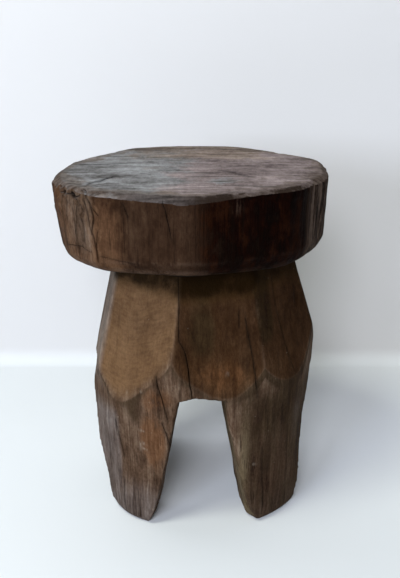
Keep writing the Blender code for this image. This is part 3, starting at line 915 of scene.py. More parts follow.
points = points_of(block)
bearing, height = bearing_of(points, BLOCK_AXIS), points[:, 2]
reach = np.hypot(*(points - BLOCK_AXIS)[:, :2].T)
flats, log = flat_reaches(bearing, height), leg_reach(bearing, height)
flat = np.sort(flats, axis=0)
under = block_reach(bearing, height) - reach
outside = 1.0 - ease(under, *SKIN_DEPTHS)
on_flat = ease(log - flat[0], *FLAT_RAMP)
# Rubbed arrises and lips are painted paler: partly wear, partly a painted highlight, stronger toward the left
# and faded where the shade under the seat is painted.
arris = np.exp(-(flat[1] - flat[0]) / EDGE_WIDTH) * on_flat
lip = np.exp(-np.abs(log - flat[0]) / EDGE_WIDTH)
lip = lip * (LIP_SHARE + LIP_LEFT_SHARE * ease(bearing, *LIP_BEARINGS))
# Dirt and painted shade: darker up under the seat's overhang, a little less on the right, and darker up the
# channel walls toward their ceilings.
contact_shade = CONTACT_SHARE * ease(height, *CONTACT_HEIGHTS)
contact_shade = contact_shade * (1.0 - CONTACT_LOSS * ease(bearing, *CONTACT_BEARINGS)) * outside
paint(block, "rubbed", outside * (arris * (1.0 - np.minimum(contact_shade, 1.0)) + lip))
paint(block, "grime", contact_shade + CHANNEL_DIRT_AND_SHADE * (1.0 - outside) * ease(height, *CHANNEL_HEIGHTS))

left_flat = np.exp(-np.clip(flats[LEFT_FLAT] - flat[0], 0.0, None) / EDGE_WIDTH)
right_flat = np.exp(-np.clip(flats[RIGHT_FLAT] - flat[0], 0.0, None) / RIGHT_FLAT_FADE) * on_flat
paint(block, "tan", outside * left_flat * ease(log - flat[0], *TAN_RAMP))
paint(block, "hewn", outside * on_flat * (1.0 - left_flat))
across = (points - BLOCK_AXIS) @ heading(np.array(SHOULDER_FLATS[LEFT_FLAT][0] + 90.0))
fold = FOLD_BOTH_SIDES * np.hypot(across, FOLD_BEND) + FOLD_ONE_SIDE * across
paint(block, "fold", fold / FOLD_LENGTH)

sliver = plateau(bearing, *SLIVER_BEARINGS) * ease(height, *SLIVER_HEIGHTS)
left_band = plateau(bearing, *LEFT_BAND_BEARINGS) * (1.0 - ease(height, *LEFT_BAND_HEIGHTS))
right_band = spot(bearing, height, *RIGHT_BAND)
toes = (1.0 - ease(height, *TOE_HEIGHTS)) * np.where(bearing < 0.0, LEFT_TOES, RIGHT_TOES)
paint(block, "pale", outside * sliver)
dry = [LEFT_BAND_SHARE * left_band, RIGHT_BAND_SHARE * right_band, TOE_SHARE * toes]
paint(block, "dry", outside * np.maximum.reduce(dry))
paint(block, "warm", outside * spots(bearing, height, BLOCK_WARM))

# The dark zone: the dark spots, painted shade on the upper left of the right flat beside its arris, the right
# legs darker, and painted shade just below the lips where the flats leave the round.
dark = spots(bearing, height, BLOCK_DARK)
dark += FLAT_DARK * right_flat * ease(bearing, *FLAT_DARK_BEARINGS) * ease(height, *FLAT_DARK_HEIGHTS)
dark += LEG_DARK * plateau(bearing, *LEG_DARK_BEARINGS) * (1.0 - ease(height, *LEG_DARK_HEIGHTS))
shade_below_lip = ease(height, *BELOW_LIP_HEIGHTS) * (1.0 - on_flat)
shade_below_lip = shade_below_lip * np.exp(-np.clip(flat[0] - log, 0.0, None) / BELOW_LIP_FADE)
shade_at_lip = np.exp(-(((log - flat[0] + LIP_DARK_DROP) / LIP_DARK_WIDTH) ** 2))
shade_at_lip = shade_at_lip * plateau(bearing, *LIP_DARK_BEARINGS)
paint(block, "dark", outside * (dark + BELOW_LIP_DARK * shade_below_lip + LIP_DARK * shade_at_lip))

strip = (1.0 - outside) * ease(points[:, 0], *STRIP_X) * (1.0 - ease(points[:, 1], *STRIP_Y))
paint(block, "strip", strip + outside * spot(bearing, height, *STRIP_SPOT))
scuff = spots(bearing, height, [(1.0, place, LEVEL_SCUFF) for place in LEVEL_SCUFFS])
scuff += spots(bearing, height, [(1.0, place, UPRIGHT_SCUFF) for place in UPRIGHT_SCUFFS])
paint(block, "scuff", outside * scuff)
# Painted shade in the cracks: their walls are dark, with a dark halo beside each route.
nearest = by_routes(bearing, height, BLOCK_CRACKS, CRACK_RADIUS_BLOCK)
sunk = (nearest < BLOCK_CLEFT_REACH) * ease(under, *BLOCK_CLEFT_DEPTHS)
paint(block, "cleft", sunk + BLOCK_CLEFT_HALO * np.exp(-nearest / BLOCK_CLEFT_FADE))
print("block zones:", [layer.name for layer in block.data.attributes if layer.data_type == "FLOAT"])

# %% Where each finish lies on the seat
# Each stretch of the rim: the bearings where it starts, is full, fades and ends.
RIM_STRETCHES = {
    "front": (-40.0, -18.0, 8.0, 26.0),
    "stain": (-12.0, 24.0, 53.0, 60.0),
    "weather": (55.0, 62.0, 110.0, 140.0),
    "left": (-37.5, -40.5, -51.0, -66.0),
}
SEAT_WARM = (
    (1.0, (-33.0, 0.378), (8.0, 0.042)),
    (0.9, (-64.0, 0.372), (15.0, 0.050)),
    (0.7, (-44.0, 0.342), (18.0, 0.014)),
)
# Each spot of the top: its weight, its place (x and y), and its spread along both.
TOP_SPOTS = {
    "bloom": (
        (1.0, (-0.055, 0.003), (0.034, 0.030)),
        (1.0, (0.036, -0.074), (0.026, 0.026)),
        (1.0, (0.075, 0.060), (0.026, 0.014)),
    ),
    "smudge": (
        (1.0, (-0.098, -0.050), (0.026, 0.017)),
        (1.0, (-0.080, -0.040), (0.016, 0.008)),
        (1.0, (0.100, 0.010), (0.018, 0.020)),
    ),
}
SPLIT_COUNT = 5
# Ramps again: facing is the upward part of a surface's direction, and the rest is in metres.
CROWN_FACING, CROWN_LEVELS = (0.25, 0.75), (SEAT_TOP - 0.020, SEAT_TOP - 0.012)
WORN_WIDTHS, WORN_LEVELS = (-1.35, -0.55), (SEAT_TOP - 0.022, SEAT_TOP - 0.016)
CORNER_START, CORNER_FULL, CORNER_BACK, CORNER_BACK_Y = 0.042, 0.006, 0.3, (0.07, 0.14)
BACK_Y, BACK_LEFT_X, BACK_RIGHT_X, BACK_RIGHT_LOSS = (0.020, 0.080), (-0.110, -0.050), (0.060, 0.100), 0.7
LILAC_X = (-0.070, 0.035)
SMEAR = ((19.8, 0.4060), (2.0, 0.007))
LOWER_LEVELS = (SEAT_BOTTOM + 0.005, SEAT_BOTTOM + 0.012)
LOWER_LINE, LOWER_LINE_WIDTH, LOWER_FACING = 0.5, 0.0022, -0.9
UNDERSIDE_FACING = (-0.80, -0.95)
UPRIGHT_START, UPRIGHT_FULL, UPRIGHT_FACING = 0.030, 0.018, (0.5, 0.8)
SPLIT_LIP = ((0.0042, 0.375), (0.0016, 0.040))
RIM_CLEFT_REACH, RIM_CLEFT_DEPTHS, RIM_CLEFT_HALO, RIM_CLEFT_FADE = 0.0032, (0.0022, 0.0045), 0.50, 0.0012
CHIP_DARK, CHIP_DEPTHS, CHIP_LEVELS = 0.85, (0.0026, 0.0046), (0.395, 0.400)
TOP_CLEFT_DEPTHS, TOP_CLEFT_HALO, TOP_CLEFT_WIDTH = (0.0030, 0.0048), 0.50, 0.0034
TOP_CLEFT_FACING, TOP_CLEFT_MARGIN = 0.5, 0.020

points, facing = points_of(seat), normals_of(seat)
x, y, height = points.T
bearing = bearing_of(points, SEAT_AXIS)
reach = np.hypot(*(points - SEAT_AXIS)[:, :2].T)
rim = rim_reach(bearing)
tilted = SEAT_TOP + TILT * (points - SEAT_AXIS)[:, 1] / SEAT_RADIUS
width, drop, taper, _, tall, lift = seat_section(bearing)
way_down = (SEAT_TOP - drop - height) / (SEAT_TOP - drop - SEAT_BOTTOM - tall - lift)
outer = rim - taper * np.clip(way_down, 0.0, 1.0) ** TAPER_POWER

paint(seat, "crown", ease(facing[:, 2], *CROWN_FACING) * ease(height, *CROWN_LEVELS))
paint(seat, "worn", ease((reach - rim) / width, *WORN_WIDTHS) * ease(height, *WORN_LEVELS))
for name, ends in RIM_STRETCHES.items():
    paint(seat, name, plateau(bearing, *ends))
for name, rows in TOP_SPOTS.items():
    paint(seat, name, spots(x, y, rows))
corner = ease(reach, rim - CORNER_START, rim - CORNER_FULL)
paint(seat, "corner", corner + CORNER_BACK * ease(y, *CORNER_BACK_Y))
back = ease(y, *BACK_Y) * ease(x, *BACK_LEFT_X)
paint(seat, "back", back * (1.0 - BACK_RIGHT_LOSS * ease(x, *BACK_RIGHT_X)))
paint(seat, "lilac", ease(x, *LILAC_X))
paint(seat, "warm", spots(bearing, height, SEAT_WARM))
paint(seat, "smear", spot(bearing, height, *SMEAR))
lower = 1.0 - ease(height - lift, *LOWER_LEVELS)
edge = np.exp(-(((height - lift - SEAT_BOTTOM - tall) / LOWER_LINE_WIDTH) ** 2))
paint(seat, "lower", np.maximum(lower, LOWER_LINE * edge) * (facing[:, 2] > LOWER_FACING))
# Painted shade over the downward faces of the underside.
paint(seat, "underside", ease(facing[:, 2], *UNDERSIDE_FACING))

upright = ease(reach, rim - UPRIGHT_START, rim - UPRIGHT_FULL)
upright = upright * (1.0 - ease(facing[:, 2], *UPRIGHT_FACING))
# Beside the big split the upright rim is paler: lighter wood with a painted highlight on the split's lip.
beside = by_routes(bearing, height, RIM_CRACKS[:SPLIT_COUNT], CRACK_RADIUS_SEAT)
paint(seat, "lip", upright * spot(beside, height, *SPLIT_LIP))
# Painted shade in the cracks, the chips and along the lines over the top.
nearest = by_routes(bearing, height, RIM_CRACKS, CRACK_RADIUS_SEAT)
sunk = (nearest < RIM_CLEFT_REACH) * ease(outer - reach, *RIM_CLEFT_DEPTHS)
sunk = sunk + RIM_CLEFT_HALO * np.exp(-nearest / RIM_CLEFT_FADE)
chipped = ease(dent_depth(points, CHIPS, on_rim), *CHIP_DEPTHS) * ease(height, *CHIP_LEVELS)
sunk = np.maximum(sunk, CHIP_DARK * chipped)
line = np.full(len(points), 1.0)
for _, route, _, _ in TOP_CRACKS:
    for place, far in zip(*follow(route)):
        away = points - SEAT_AXIS - heading(np.array(place)) * far
        line = np.minimum(line, np.hypot(away[:, 0], away[:, 1]))
sunk_top = ease(tilted - height, *TOP_CLEFT_DEPTHS)
sunk_top += TOP_CLEFT_HALO * np.exp(-((line / TOP_CLEFT_WIDTH) ** 2)) * (facing[:, 2] > TOP_CLEFT_FACING)
paint(seat, "cleft", np.maximum(sunk * upright, sunk_top * (reach < rim - TOP_CLEFT_MARGIN)))
print("seat zones:", [layer.name for layer in seat.data.attributes if layer.data_type == "FLOAT"])

# %% [markdown]
# ## A small language for materials
# A material is a sum of layers, and it reads best as arithmetic. `Amount` wraps one number socket, and each
# sum or product on it adds a Math node. `Finish` makes any other node from its type, its settings and its
# sockets.

# %% A small language for materials
DRY_GLOSS = 0.02


class Amount:
    """A number that varies over a surface: one output socket, with arithmetic that adds Math nodes."""

    def __init__(self, finish, socket):
        self.finish, self.socket = finish, socket

    def sum_of(self, operation, first, second):
        return self.finish.node("ShaderNodeMath", {"operation": operation}, {0: first, 1: second})

    def __add__(self, other):
        return self.sum_of("ADD", self, other)

    def __radd__(self, other):
        return self.sum_of("ADD", other, self)

    def __sub__(self, other):
        return self.sum_of("SUBTRACT", self, other)

    def __rsub__(self, other):
        return self.sum_of("SUBTRACT", other, self)

    def __mul__(self, other):
        return self.sum_of("MULTIPLY", self, other)

    def __rmul__(self, other):
        return self.sum_of("MULTIPLY", other, self)


class Finish:
    """A procedural material, built up node by node around one Principled shader."""

    def __init__(self, name):
        self.material = bpy.data.materials.new(name)
        self.material.use_nodes = True
        self.tree = self.material.node_tree
        self.shader = self.tree.nodes["Principled BSDF"]
        self.place = self.node("ShaderNodeTexCoord", {}, {}, "Object")

    def feed(self, socket, item):
        """Link a socket to what is worked out, or set it to a plain value."""
        if isinstance(item, Amount):
            self.tree.links.new(item.socket, socket)
        elif socket.type == "RGBA" and len(item) == 3:
            socket.default_value = (*item, 1.0)
        else:
            socket.default_value = item

    def node(self, kind, settings, sockets, output=0):
        """Add a node, set it, feed its sockets by name, identifier or number, and give one output."""
        made = self.tree.nodes.new(kind)
        for name, setting in settings.items():
            if name == "stops":
                self.set_stops(made.color_ramp, setting)
            else:
                setattr(made, name, setting)
        by_name = {socket.name: socket for socket in reversed(made.inputs)}
        by_name.update({socket.identifier: socket for socket in made.inputs})
        for name, item in sockets.items():
            self.feed(made.inputs[name] if isinstance(name, int) else by_name[name], item)
        results = {socket.name: socket for socket in reversed(made.outputs)}
        results.update({socket.identifier: socket for socket in made.outputs})
        return Amount(self, made.outputs[output] if isinstance(output, int) else results[output])

    def set_stops(self, ramp, stops):
        """Give a colour ramp its stops, as (position, colour) pairs."""
        while len(ramp.elements) < len(stops):
            ramp.elements.new(1.0)
        for element, (position, colour) in zip(ramp.elements, stops):
            element.position = position
            element.color = (*colour, 1.0)

    def painted(self, name):
        """One of the numbers that numpy left on the piece."""
        return self.node("ShaderNodeAttribute", {"attribute_name": name}, {}, "Fac")

    def cloud(self, per_metre, detail, roughness, seed=0.0, place=None):
        """Noise from 0 to 1, with so many lumps per metre along x, y and z."""
        shift = (seed, seed * 0.7, seed * 1.3)
        spread = {"Vector": place or self.place, "Scale": per_metre, "Location": shift}
        where = self.node("ShaderNodeMapping", {}, spread)
        lumps = {"Vector": where, "Scale": 1.0, "Detail": detail, "Roughness": roughness}
        return self.node("ShaderNodeTexNoise", {}, lumps, "Fac")

    def rings(self, axis, spacing, wobble):
        """Growth rings about an upright axis: a saw wave from 0 to 1 across each ring, with a slow wobble."""
        size = 2.0 * np.pi / 20.0 / spacing
        spread = {"Vector": self.place, "Scale": (size, size, 0.1 * size), "Location": tuple(-size * axis)}
        where = self.node("ShaderNodeMapping", {}, spread)
        wave = {"wave_type": "RINGS", "rings_direction": "Z", "wave_profile": "SAW"}
        saw = {"Vector": where, "Scale": 1.0, "Distortion": wobble, "Detail": 3.0, "Detail Scale": 0.3}
        return self.node("ShaderNodeTexWave", wave, saw, "Fac")

    def step(self, amount, low, high):
        """An eased step of an amount from 0 at low to 1 at high."""
        ends = {"Value": amount, "From Min": low, "From Max": high}
        return self.node("ShaderNodeMapRange", {"interpolation_type": "SMOOTHSTEP"}, ends)

    def lumps(self, per_metre, detail, roughness, seed, soft, place=None):
        """Noise in clear lumps: a cloud stepped about its middle, by a soft width to each side."""
        return self.step(self.cloud(per_metre, detail, roughness, seed, place), 0.5 - soft, 0.5 + soft)

    def broken(self, name, noise, low, high):
        """A painted zone broken up by noise: their product, stepped from low to high."""
        return self.step(self.painted(name) * noise, low, high)

    def frayed(self, name, noise, low, high):
        """A painted zone with frayed edges: its sum with a noise about 0, stepped from low to high."""
        return self.step(self.painted(name) + noise, low, high)

    def ramp(self, amount, *stops):
        """A colour by an amount, from (position, colour) stops."""
        return self.node("ShaderNodeValToRGB", {"stops": stops}, {"Fac": amount})

    def shades(self, amount, low, high):
        """A colour by an amount, from one shade at 0.2 to another at 0.8."""
        return self.ramp(amount, (0.20, low), (0.80, high))

    def mix(self, share, under, over, blend="MIX"):
        """One colour laid over another by a share."""
        layers = {"Factor_Float": share, "A_Color": under, "B_Color": over}
        return self.node("ShaderNodeMix", {"data_type": "RGBA", "blend_type": blend}, layers, "Result_Color")

    def stack(self, colour, *layers):
        """Lay colours over a first one, each layer a share and a colour."""
        for share, over in layers:
            colour = self.mix(share, colour, over)
        return colour

    def finish(self, colour, roughness, relief, depth, strength=1.0):
        """Send the layers to the shader: colour, roughness, and relief as a bump of a depth in metres."""
        inputs = self.shader.inputs
        inputs["Specular IOR Level"].default_value = DRY_GLOSS
        self.feed(inputs["Base Color"], colour)
        self.feed(inputs["Roughness"], roughness)
        bump = {"Height": relief, "Distance": depth, "Strength": strength}
        self.feed(inputs["Normal"], self.node("ShaderNodeBump", {}, bump))
        return self.material


# %% [markdown]
# ## The block's wood
# Dark hardwood, hewn across its sides and oiled by hands. Long fibres run upright, with dark pores between
# them. The left flat is the palest and shows a fine ripple where the blade crossed curly grain. Dry faces
# have gone grey, the wood under the seat is dark with dirt and painted shade, the arrises are rubbed pale
# with a painted highlight, and the cracks hold painted shade.

# %% The block's wood
FINE_GRAIN = ((400.0, 400.0, 240.0), 3.0, 0.6, 9.0, 0.10)
RING_SPACING, RING_WOBBLE, FOLD_RISE = 0.0042, 7.0, 0.028
BLOCK_GRAIN_DEPTH, SEAT_GRAIN_DEPTH, WEDGE_GRAIN_DEPTH = 0.0011, 0.0012, 0.0006


def block_wood():
    """Growth rings and upright fibres, tinted by the painted zones."""
    wood = Finish("leg block wood")
    broad = wood.lumps((46.0, 46.0, 6.0), 5.0, 0.62, 0.0, 0.16)
    fibre = wood.lumps((210.0, 210.0, 9.0), 5.0, 0.70, 3.0, 0.15)
    patch = wood.lumps((16.0, 16.0, 12.0), 5.0, 0.65, 7.0, 0.16)
    blotch = wood.lumps((60.0, 60.0, 34.0), 6.0, 0.70, 24.0, 0.15)
    grain = wood.lumps(*FINE_GRAIN)
    rings = wood.rings(BLOCK_AXIS, RING_SPACING, RING_WOBBLE)
    hewn, tan, strip = wood.painted("hewn"), wood.painted("tan"), wood.painted("strip")

    # The legs, the shoulder flats and the tan left flat are three woods, each with its own sum of noises.
    tone = broad * 0.20 + fibre * 0.28 + patch * 0.16 + blotch * 0.20 + rings * 0.06 + grain * 0.10
    leg = wood.ramp(
        tone,
        (0.14, (0.022, 0.011, 0.006)),
        (0.42, (0.070, 0.040, 0.024)),
        (0.62, (0.108, 0.068, 0.044)),
        (0.88, (0.186, 0.130, 0.092)),
    )
    calm = patch * 0.34 + blotch * 0.24 + rings * 0.06 + broad * 0.10 + grain * 0.14 + fibre * 0.12
    shoulder = wood.ramp(
        calm,
        (0.10, (0.014, 0.0056, 0.0018)),
        (0.45, (0.029, 0.0120, 0.0039)),
        (0.65, (0.039, 0.0164, 0.0053)),
        (0.92, (0.060, 0.0275, 0.0102)),
    )
    rise = wood.node("ShaderNodeCombineXYZ", {}, {"Z": wood.painted("fold") * FOLD_RISE})
    folded = wood.node("ShaderNodeVectorMath", {"operation": "SUBTRACT"}, {0: wood.place, 1: rise})
    ripple = wood.lumps((62.0, 62.0, 300.0), 4.0, 0.65, 21.0, 0.13, folded)
    paler = ripple * 0.26 + blotch * 0.18 + patch * 0.30 + grain * 0.14 + broad * 0.12
    flat = wood.ramp(
        paler,
        (0.10, (0.086, 0.045, 0.0210)),
        (0.50, (0.128, 0.069, 0.0320)),
        (0.90, (0.174, 0.098, 0.0465)),
    )

    # Warm, dry, pale, bare and dark zones lie over them; the dark zone is partly painted shade.
    warm = wood.broken("warm", 0.2 + patch * 0.5 + blotch * 0.5 + fibre * 0.2, 0.22, 0.70)
    russet = wood.shades(tone, (0.058, 0.021, 0.007), (0.140, 0.059, 0.022))
    dry = wood.broken("dry", 0.7 + patch * 0.4 + fibre * 0.3, 0.10, 0.95)
    ash = wood.ramp(
        tone,
        (0.15, (0.086, 0.066, 0.058)),
        (0.50, (0.140, 0.115, 0.104)),
        (0.85, (0.210, 0.182, 0.166)),
    )
    pale = wood.ramp(
        tone,
        (0.15, (0.105, 0.078, 0.060)),
        (0.50, (0.172, 0.130, 0.102)),
        (0.85, (0.255, 0.205, 0.165)),
    )
    bare = wood.shades(tone, (0.060, 0.044, 0.022), (0.190, 0.145, 0.085))
    dark = wood.broken("dark", 0.3 + patch * 0.5 + blotch * 0.5 + fibre * 0.2, 0.15, 0.90)
    dark_and_shade = wood.shades(tone, (0.006, 0.003, 0.0014), (0.034, 0.0200, 0.0080))

    # Last come fine checks and pores, dirt and painted shade under the seat, rubbed edges with a painted
    # highlight, scuffs, and painted shade in the cracks.
    check = wood.step(wood.cloud((130.0, 130.0, 5.0), 4.0, 0.62, 15.0), 0.60, 0.64)
    pore = wood.step(wood.cloud((560.0, 560.0, 24.0), 3.0, 0.6, 5.0), 0.58, 0.66)
    lines = (check * 0.5 + pore * 0.42) * (1.0 - tan * 0.7 - hewn * 0.4)
    grime = wood.broken("grime", 0.55 + patch * 0.5 + blotch * 0.4, 0.04, 1.10)
    soil_and_shade = wood.shades(grime, (0.030, 0.0160, 0.0030), (0.0080, 0.0036, 0.0005))
    rubbed = wood.painted("rubbed") * wood.step(patch + grain * 0.15, 0.20, 0.95)
    fleck = wood.step(wood.cloud((150.0, 150.0, 210.0), 2.0, 0.5, 13.0), 0.75, 0.78)

    # All layers of colour, from the lowest up, each with its share.
    colour = wood.stack(
        leg,
        (hewn * 0.9, shoulder),
        (tan * 0.88, flat),
        (warm * 0.62, russet),
        (dry * 0.75, ash),
        (wood.painted("pale") * 0.85, pale),
        (strip * 0.75, bare),
        (dark * 0.80, dark_and_shade),
        (lines, (0.014, 0.007, 0.004)),
        (grime * 0.94, soil_and_shade),
        (rubbed * 0.34, (0.160, 0.103, 0.066)),
        (wood.painted("scuff") * 0.60 + fleck * 0.30, (0.270, 0.215, 0.165)),
        (wood.painted("cleft"), (0.008, 0.005, 0.003)),
    )
    roughness = 0.70 + (fibre - 0.5) * 0.16 - rubbed * 0.12 - tan * 0.08
    smooth = 1.0 - 0.6 * hewn - 0.7 * tan
    relief = (fibre * 0.38 + broad * 0.40 - check * 0.45 - pore * 0.25) * smooth
    relief = relief + grain * 0.22 + ripple * tan * 0.26
    return wood.finish(colour, roughness, relief, BLOCK_GRAIN_DEPTH, 0.75)


block.data.materials.clear()
block.data.materials.append(block_wood())
print("block wood nodes:", len(block.data.materials[0].node_tree.nodes))

# %% [markdown]
# ## The seat's wood
# The top is worn grey, partly a painted sheen, with a lilac cast in the middle, streaked from side to side
# by use and browner near the edge. The rim keeps its brown, with upright fibres. On the right it is stained
# almost black, and past the next corner it is grey and furrowed by weather.

# %% The seat's wood
LILAC = (1.06, 0.83, 0.80)


def seat_wood():
    """A brown rim with upright fibres and a grey streaked top (partly painted sheen), parted by the painted
    crown.
    """
    wood = Finish("seat wood")
    broad = wood.lumps((44.0, 44.0, 7.0), 5.0, 0.62, 2.0, 0.16)
    fibre = wood.lumps((310.0, 310.0, 11.0), 4.0, 0.65, 4.0, 0.14)
    patch = wood.lumps((22.0, 22.0, 18.0), 5.0, 0.65, 8.0, 0.16)
    blotch = wood.lumps((62.0, 62.0, 40.0), 6.0, 0.70, 24.0, 0.15)
    grain = wood.lumps(*FINE_GRAIN)
    weather = wood.painted("weather")

    # The rim is brown in front, grey and warm on the left, nearly black and then furrowed grey on the right.
    calm = patch * 0.34 + blotch * 0.28 + broad * 0.16 + grain * 0.10 + fibre * 0.12
    rim = wood.ramp(
        calm,
        (0.10, (0.014, 0.0062, 0.0030)),
        (0.42, (0.025, 0.0120, 0.0063)),
        (0.65, (0.036, 0.0186, 0.0102)),
        (0.92, (0.058, 0.0330, 0.0190)),
    )
    rough_wood = patch * 0.26 + blotch * 0.36 + fibre * 0.24 + grain * 0.14
    grey_side = wood.ramp(
        rough_wood,
        (0.12, (0.034, 0.019, 0.011)),
        (0.42, (0.086, 0.054, 0.035)),
        (0.65, (0.128, 0.091, 0.066)),
        (0.90, (0.200, 0.162, 0.134)),
    )
    warm = wood.broken("warm", 0.6 + patch * 0.5 + blotch * 0.3, 0.10, 0.95)
    russet = wood.shades(rough_wood, (0.064, 0.029, 0.014), (0.126, 0.064, 0.032))
    stain = wood.broken("stain", 0.5 + patch * 0.6 + blotch * 0.4, 0.12, 0.80)
    soot = wood.ramp(
        patch * 0.40 + blotch * 0.45 + fibre * 0.15,
        (0.25, (0.0016, 0.0004, 0.0001)),
        (0.55, (0.0054, 0.0010, 0.0002)),
        (0.85, (0.0150, 0.0044, 0.0014)),
    )
    furrow = wood.ramp(
        fibre * 0.7 + blotch * 0.2 + grain * 0.1,
        (0.20, (0.010, 0.006, 0.004)),
        (0.52, (0.044, 0.028, 0.020)),
        (0.85, (0.116, 0.083, 0.064)),
    )
    lower = wood.painted("lower") * wood.step(patch + grain * 0.4, 0.25, 1.00) * (1.0 - stain * 0.8)
    check = wood.step(wood.cloud((120.0, 120.0, 6.0), 4.0, 0.62, 15.0), 0.60, 0.65)
    pore = wood.step(wood.cloud((600.0, 600.0, 28.0), 3.0, 0.6, 6.0), 0.58, 0.66)
    smear = wood.painted("smear") * wood.step(fibre * 0.5 + blotch * 0.5, 0.40, 0.75)
    # The split's lip is paler: lighter wood with a painted highlight.
    lip = wood.painted("lip") * wood.step(blotch, 0.25, 0.75)
    rim = wood.stack(
        rim,
        (wood.painted("left") * 0.76, grey_side),
        (warm * 0.66, russet),
        (stain, soot),
        (weather * 0.92, furrow),
        (lower * 0.45, (0.105, 0.066, 0.046)),
        (check * 0.45 + pore * 0.30, (0.0045, 0.0018, 0.0008)),
        (smear * 0.45, (0.074, 0.048, 0.034)),
        (lip * 0.5, (0.150, 0.085, 0.046)),
    )

    # The top is grey, partly a painted sheen, with streaks from side to side, a lilac cast in the middle and
    # brown toward its edges.
    streak = wood.lumps((18.0, 75.0, 40.0), 5.0, 0.66, 10.0, 0.14)
    line = wood.lumps((8.0, 150.0, 40.0), 4.0, 0.60, 14.0, 0.12)
    fine = wood.lumps((190.0, 90.0, 200.0), 3.0, 0.6, 12.0, 0.10)
    blot = wood.lumps((13.0, 17.0, 30.0), 6.0, 0.68, 16.0, 0.14)
    flake = wood.step(wood.cloud((44.0, 36.0, 60.0), 5.0, 0.68, 26.0), 0.49, 0.56)
    bloom = wood.broken("bloom", 0.5 + flake * 0.4 + streak * 0.4, 0.20, 0.80)
    smudge = wood.broken("smudge", 0.4 + flake * 0.4 + streak * 0.5, 0.20, 0.80)
    used = streak * 0.28 + line * 0.24 + fine * 0.13 + blot * 0.22
    used = used + flake * 0.07 + bloom * 0.05 - smudge * 0.26
    top = wood.ramp(
        used,
        (0.10, (0.085, 0.079, 0.078)),
        (0.40, (0.182, 0.177, 0.180)),
        (0.62, (0.252, 0.252, 0.258)),
        (0.90, (0.380, 0.384, 0.396)),
    )
    cast = wood.frayed("lilac", (blot - 0.5) * 0.6 - bloom * 0.5, 0.25, 0.75)
    top = wood.mix(cast * 0.85, top, LILAC, "MULTIPLY")
    back = wood.frayed("back", (blot - 0.5) * 0.7 + (patch - 0.5) * 0.4, 0.25, 0.95)
    umber = wood.shades(used, (0.124, 0.090, 0.070), (0.310, 0.246, 0.204))
    corner = wood.frayed("corner", (patch - 0.5) * 0.8 + (blot - 0.5) * 0.4, 0.35, 0.95)
    tanned = wood.shades(used, (0.054, 0.038, 0.029), (0.196, 0.156, 0.131))
    worn = wood.frayed("worn", (patch - 0.5) * 0.6 + (flake - 0.5) * 0.4, 0.25, 1.00)
    dull = wood.shades(used, (0.018, 0.014, 0.013), (0.084, 0.068, 0.066))
    brown = wood.shades(used, (0.046, 0.031, 0.023), (0.144, 0.106, 0.086))
    scratch = wood.step(wood.cloud((10.0, 80.0, 40.0), 4.0, 0.60, 18.0), 0.585, 0.615)
    top = wood.stack(
        top,
        (back * 0.80, umber),
        (corner * 0.70, tanned),
        (worn * 0.85, wood.mix(wood.painted("front"), brown, dull)),
        (corner * stain * 0.45, (0.064, 0.044, 0.036)),
        (worn * stain * 0.85, (0.014, 0.008, 0.005)),
        (scratch * 0.55, (0.060, 0.050, 0.046)),
    )

    # The crown says where the top lies over the rim. The underside and the crack walls get painted shade.
    crown = wood.frayed("crown", (patch - 0.5) * 0.30 + (blotch - 0.5) * 0.30, 0.30, 0.70)
    colour = wood.stack(
        rim,
        (crown, top),
        (wood.painted("underside") * 0.85, (0.014, 0.009, 0.006)),
        (wood.painted("cleft"), (0.006, 0.004, 0.003)),
    )
    roughness = 0.70 + (fibre - 0.5) * 0.16 + crown * 0.06
    rim_relief = fibre * (0.36 + 0.7 * weather) + grain * 0.22 + broad * 0.35 - check * 0.4 - pore * 0.25
    relief = rim_relief * (1.0 - crown) + (streak * 0.5 + fine * 0.3 + grain * 0.25) * crown
    return wood.finish(colour, roughness, relief, SEAT_GRAIN_DEPTH, 0.8)


seat.data.materials.clear()
seat.data.materials.append(seat_wood())
print("seat wood nodes:", len(seat.data.materials[0].node_tree.nodes))

# %% [markdown]
# ## The wedges' wood
# The two hidden wedges keep their CAD shape, since they are plain split wood. They only get a paler wood
# with fine fibres.

# %% The wedges' wood
def wedge_wood():
    """Pale split wood: fine upright fibres."""
    wood = Finish("wedge wood")
    fibre = wood.cloud((420.0, 420.0, 16.0), 4.0, 0.6)
    patch = wood.cloud((60.0, 60.0, 24.0), 3.0, 0.5, 3.0)
    tone = fibre * 0.65 + patch * 0.35
    colour = wood.ramp(
        tone,
        (0.30, (0.210, 0.125, 0.062)),
        (0.55, (0.300, 0.190, 0.105)),
        (0.75, (0.390, 0.270, 0.165)),
    )
    return wood.finish(colour, 0.58 + (fibre - 0.5) * 0.2, fibre, WEDGE_GRAIN_DEPTH, 0.5)


split_wood = wedge_wood()
for name in ("tenon_wedge_left", "tenon_wedge_right"):
    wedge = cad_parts[name]
    wedge.data.materials.clear()
    wedge.data.materials.append(split_wood)
print("wedge wood nodes:", len(split_wood.node_tree.nodes))

# %% [markdown]
# ## Shading and riding
# Smooth shading hides the cells, while the lips of the cracks stay sharp. Nothing on a stool moves, so both
# pieces ride on the one body.

# %% Shading and riding
SHARP_ANGLE = 48.0
for piece, node, slot in ((block, "leg_block", "leg_block_wood"), (seat, "seat", "seat_wood")):
    piece.data.shade_smooth()
    piece.data.set_sharp_from_angle(angle=np.radians(SHARP_ANGLE))
    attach(piece, "root")
    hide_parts(node)
    piece.data.calc_loop_triangles()
    print(piece.name, "triangles:", len(piece.data.loop_triangles))

# %% [markdown]
# ## The room
# The stool stands on a pale floor, close in front of a pale wall, and a small cove joins the two. The wall
# shows only from its front, so that other cameras can look through it from behind, and it throws no shadow
# on the floor there.

# %% The room
FLOOR_PAINT, WALL_PAINT, MOTTLE_PAINT = (0.82, 0.85, 0.87), (0.70, 0.69, 0.69), (0.50, 0.50, 0.50)
ROOM, WALL_Y, WALL_HEIGHT, COVE = 6.0, 0.385, 3.0, 0.025


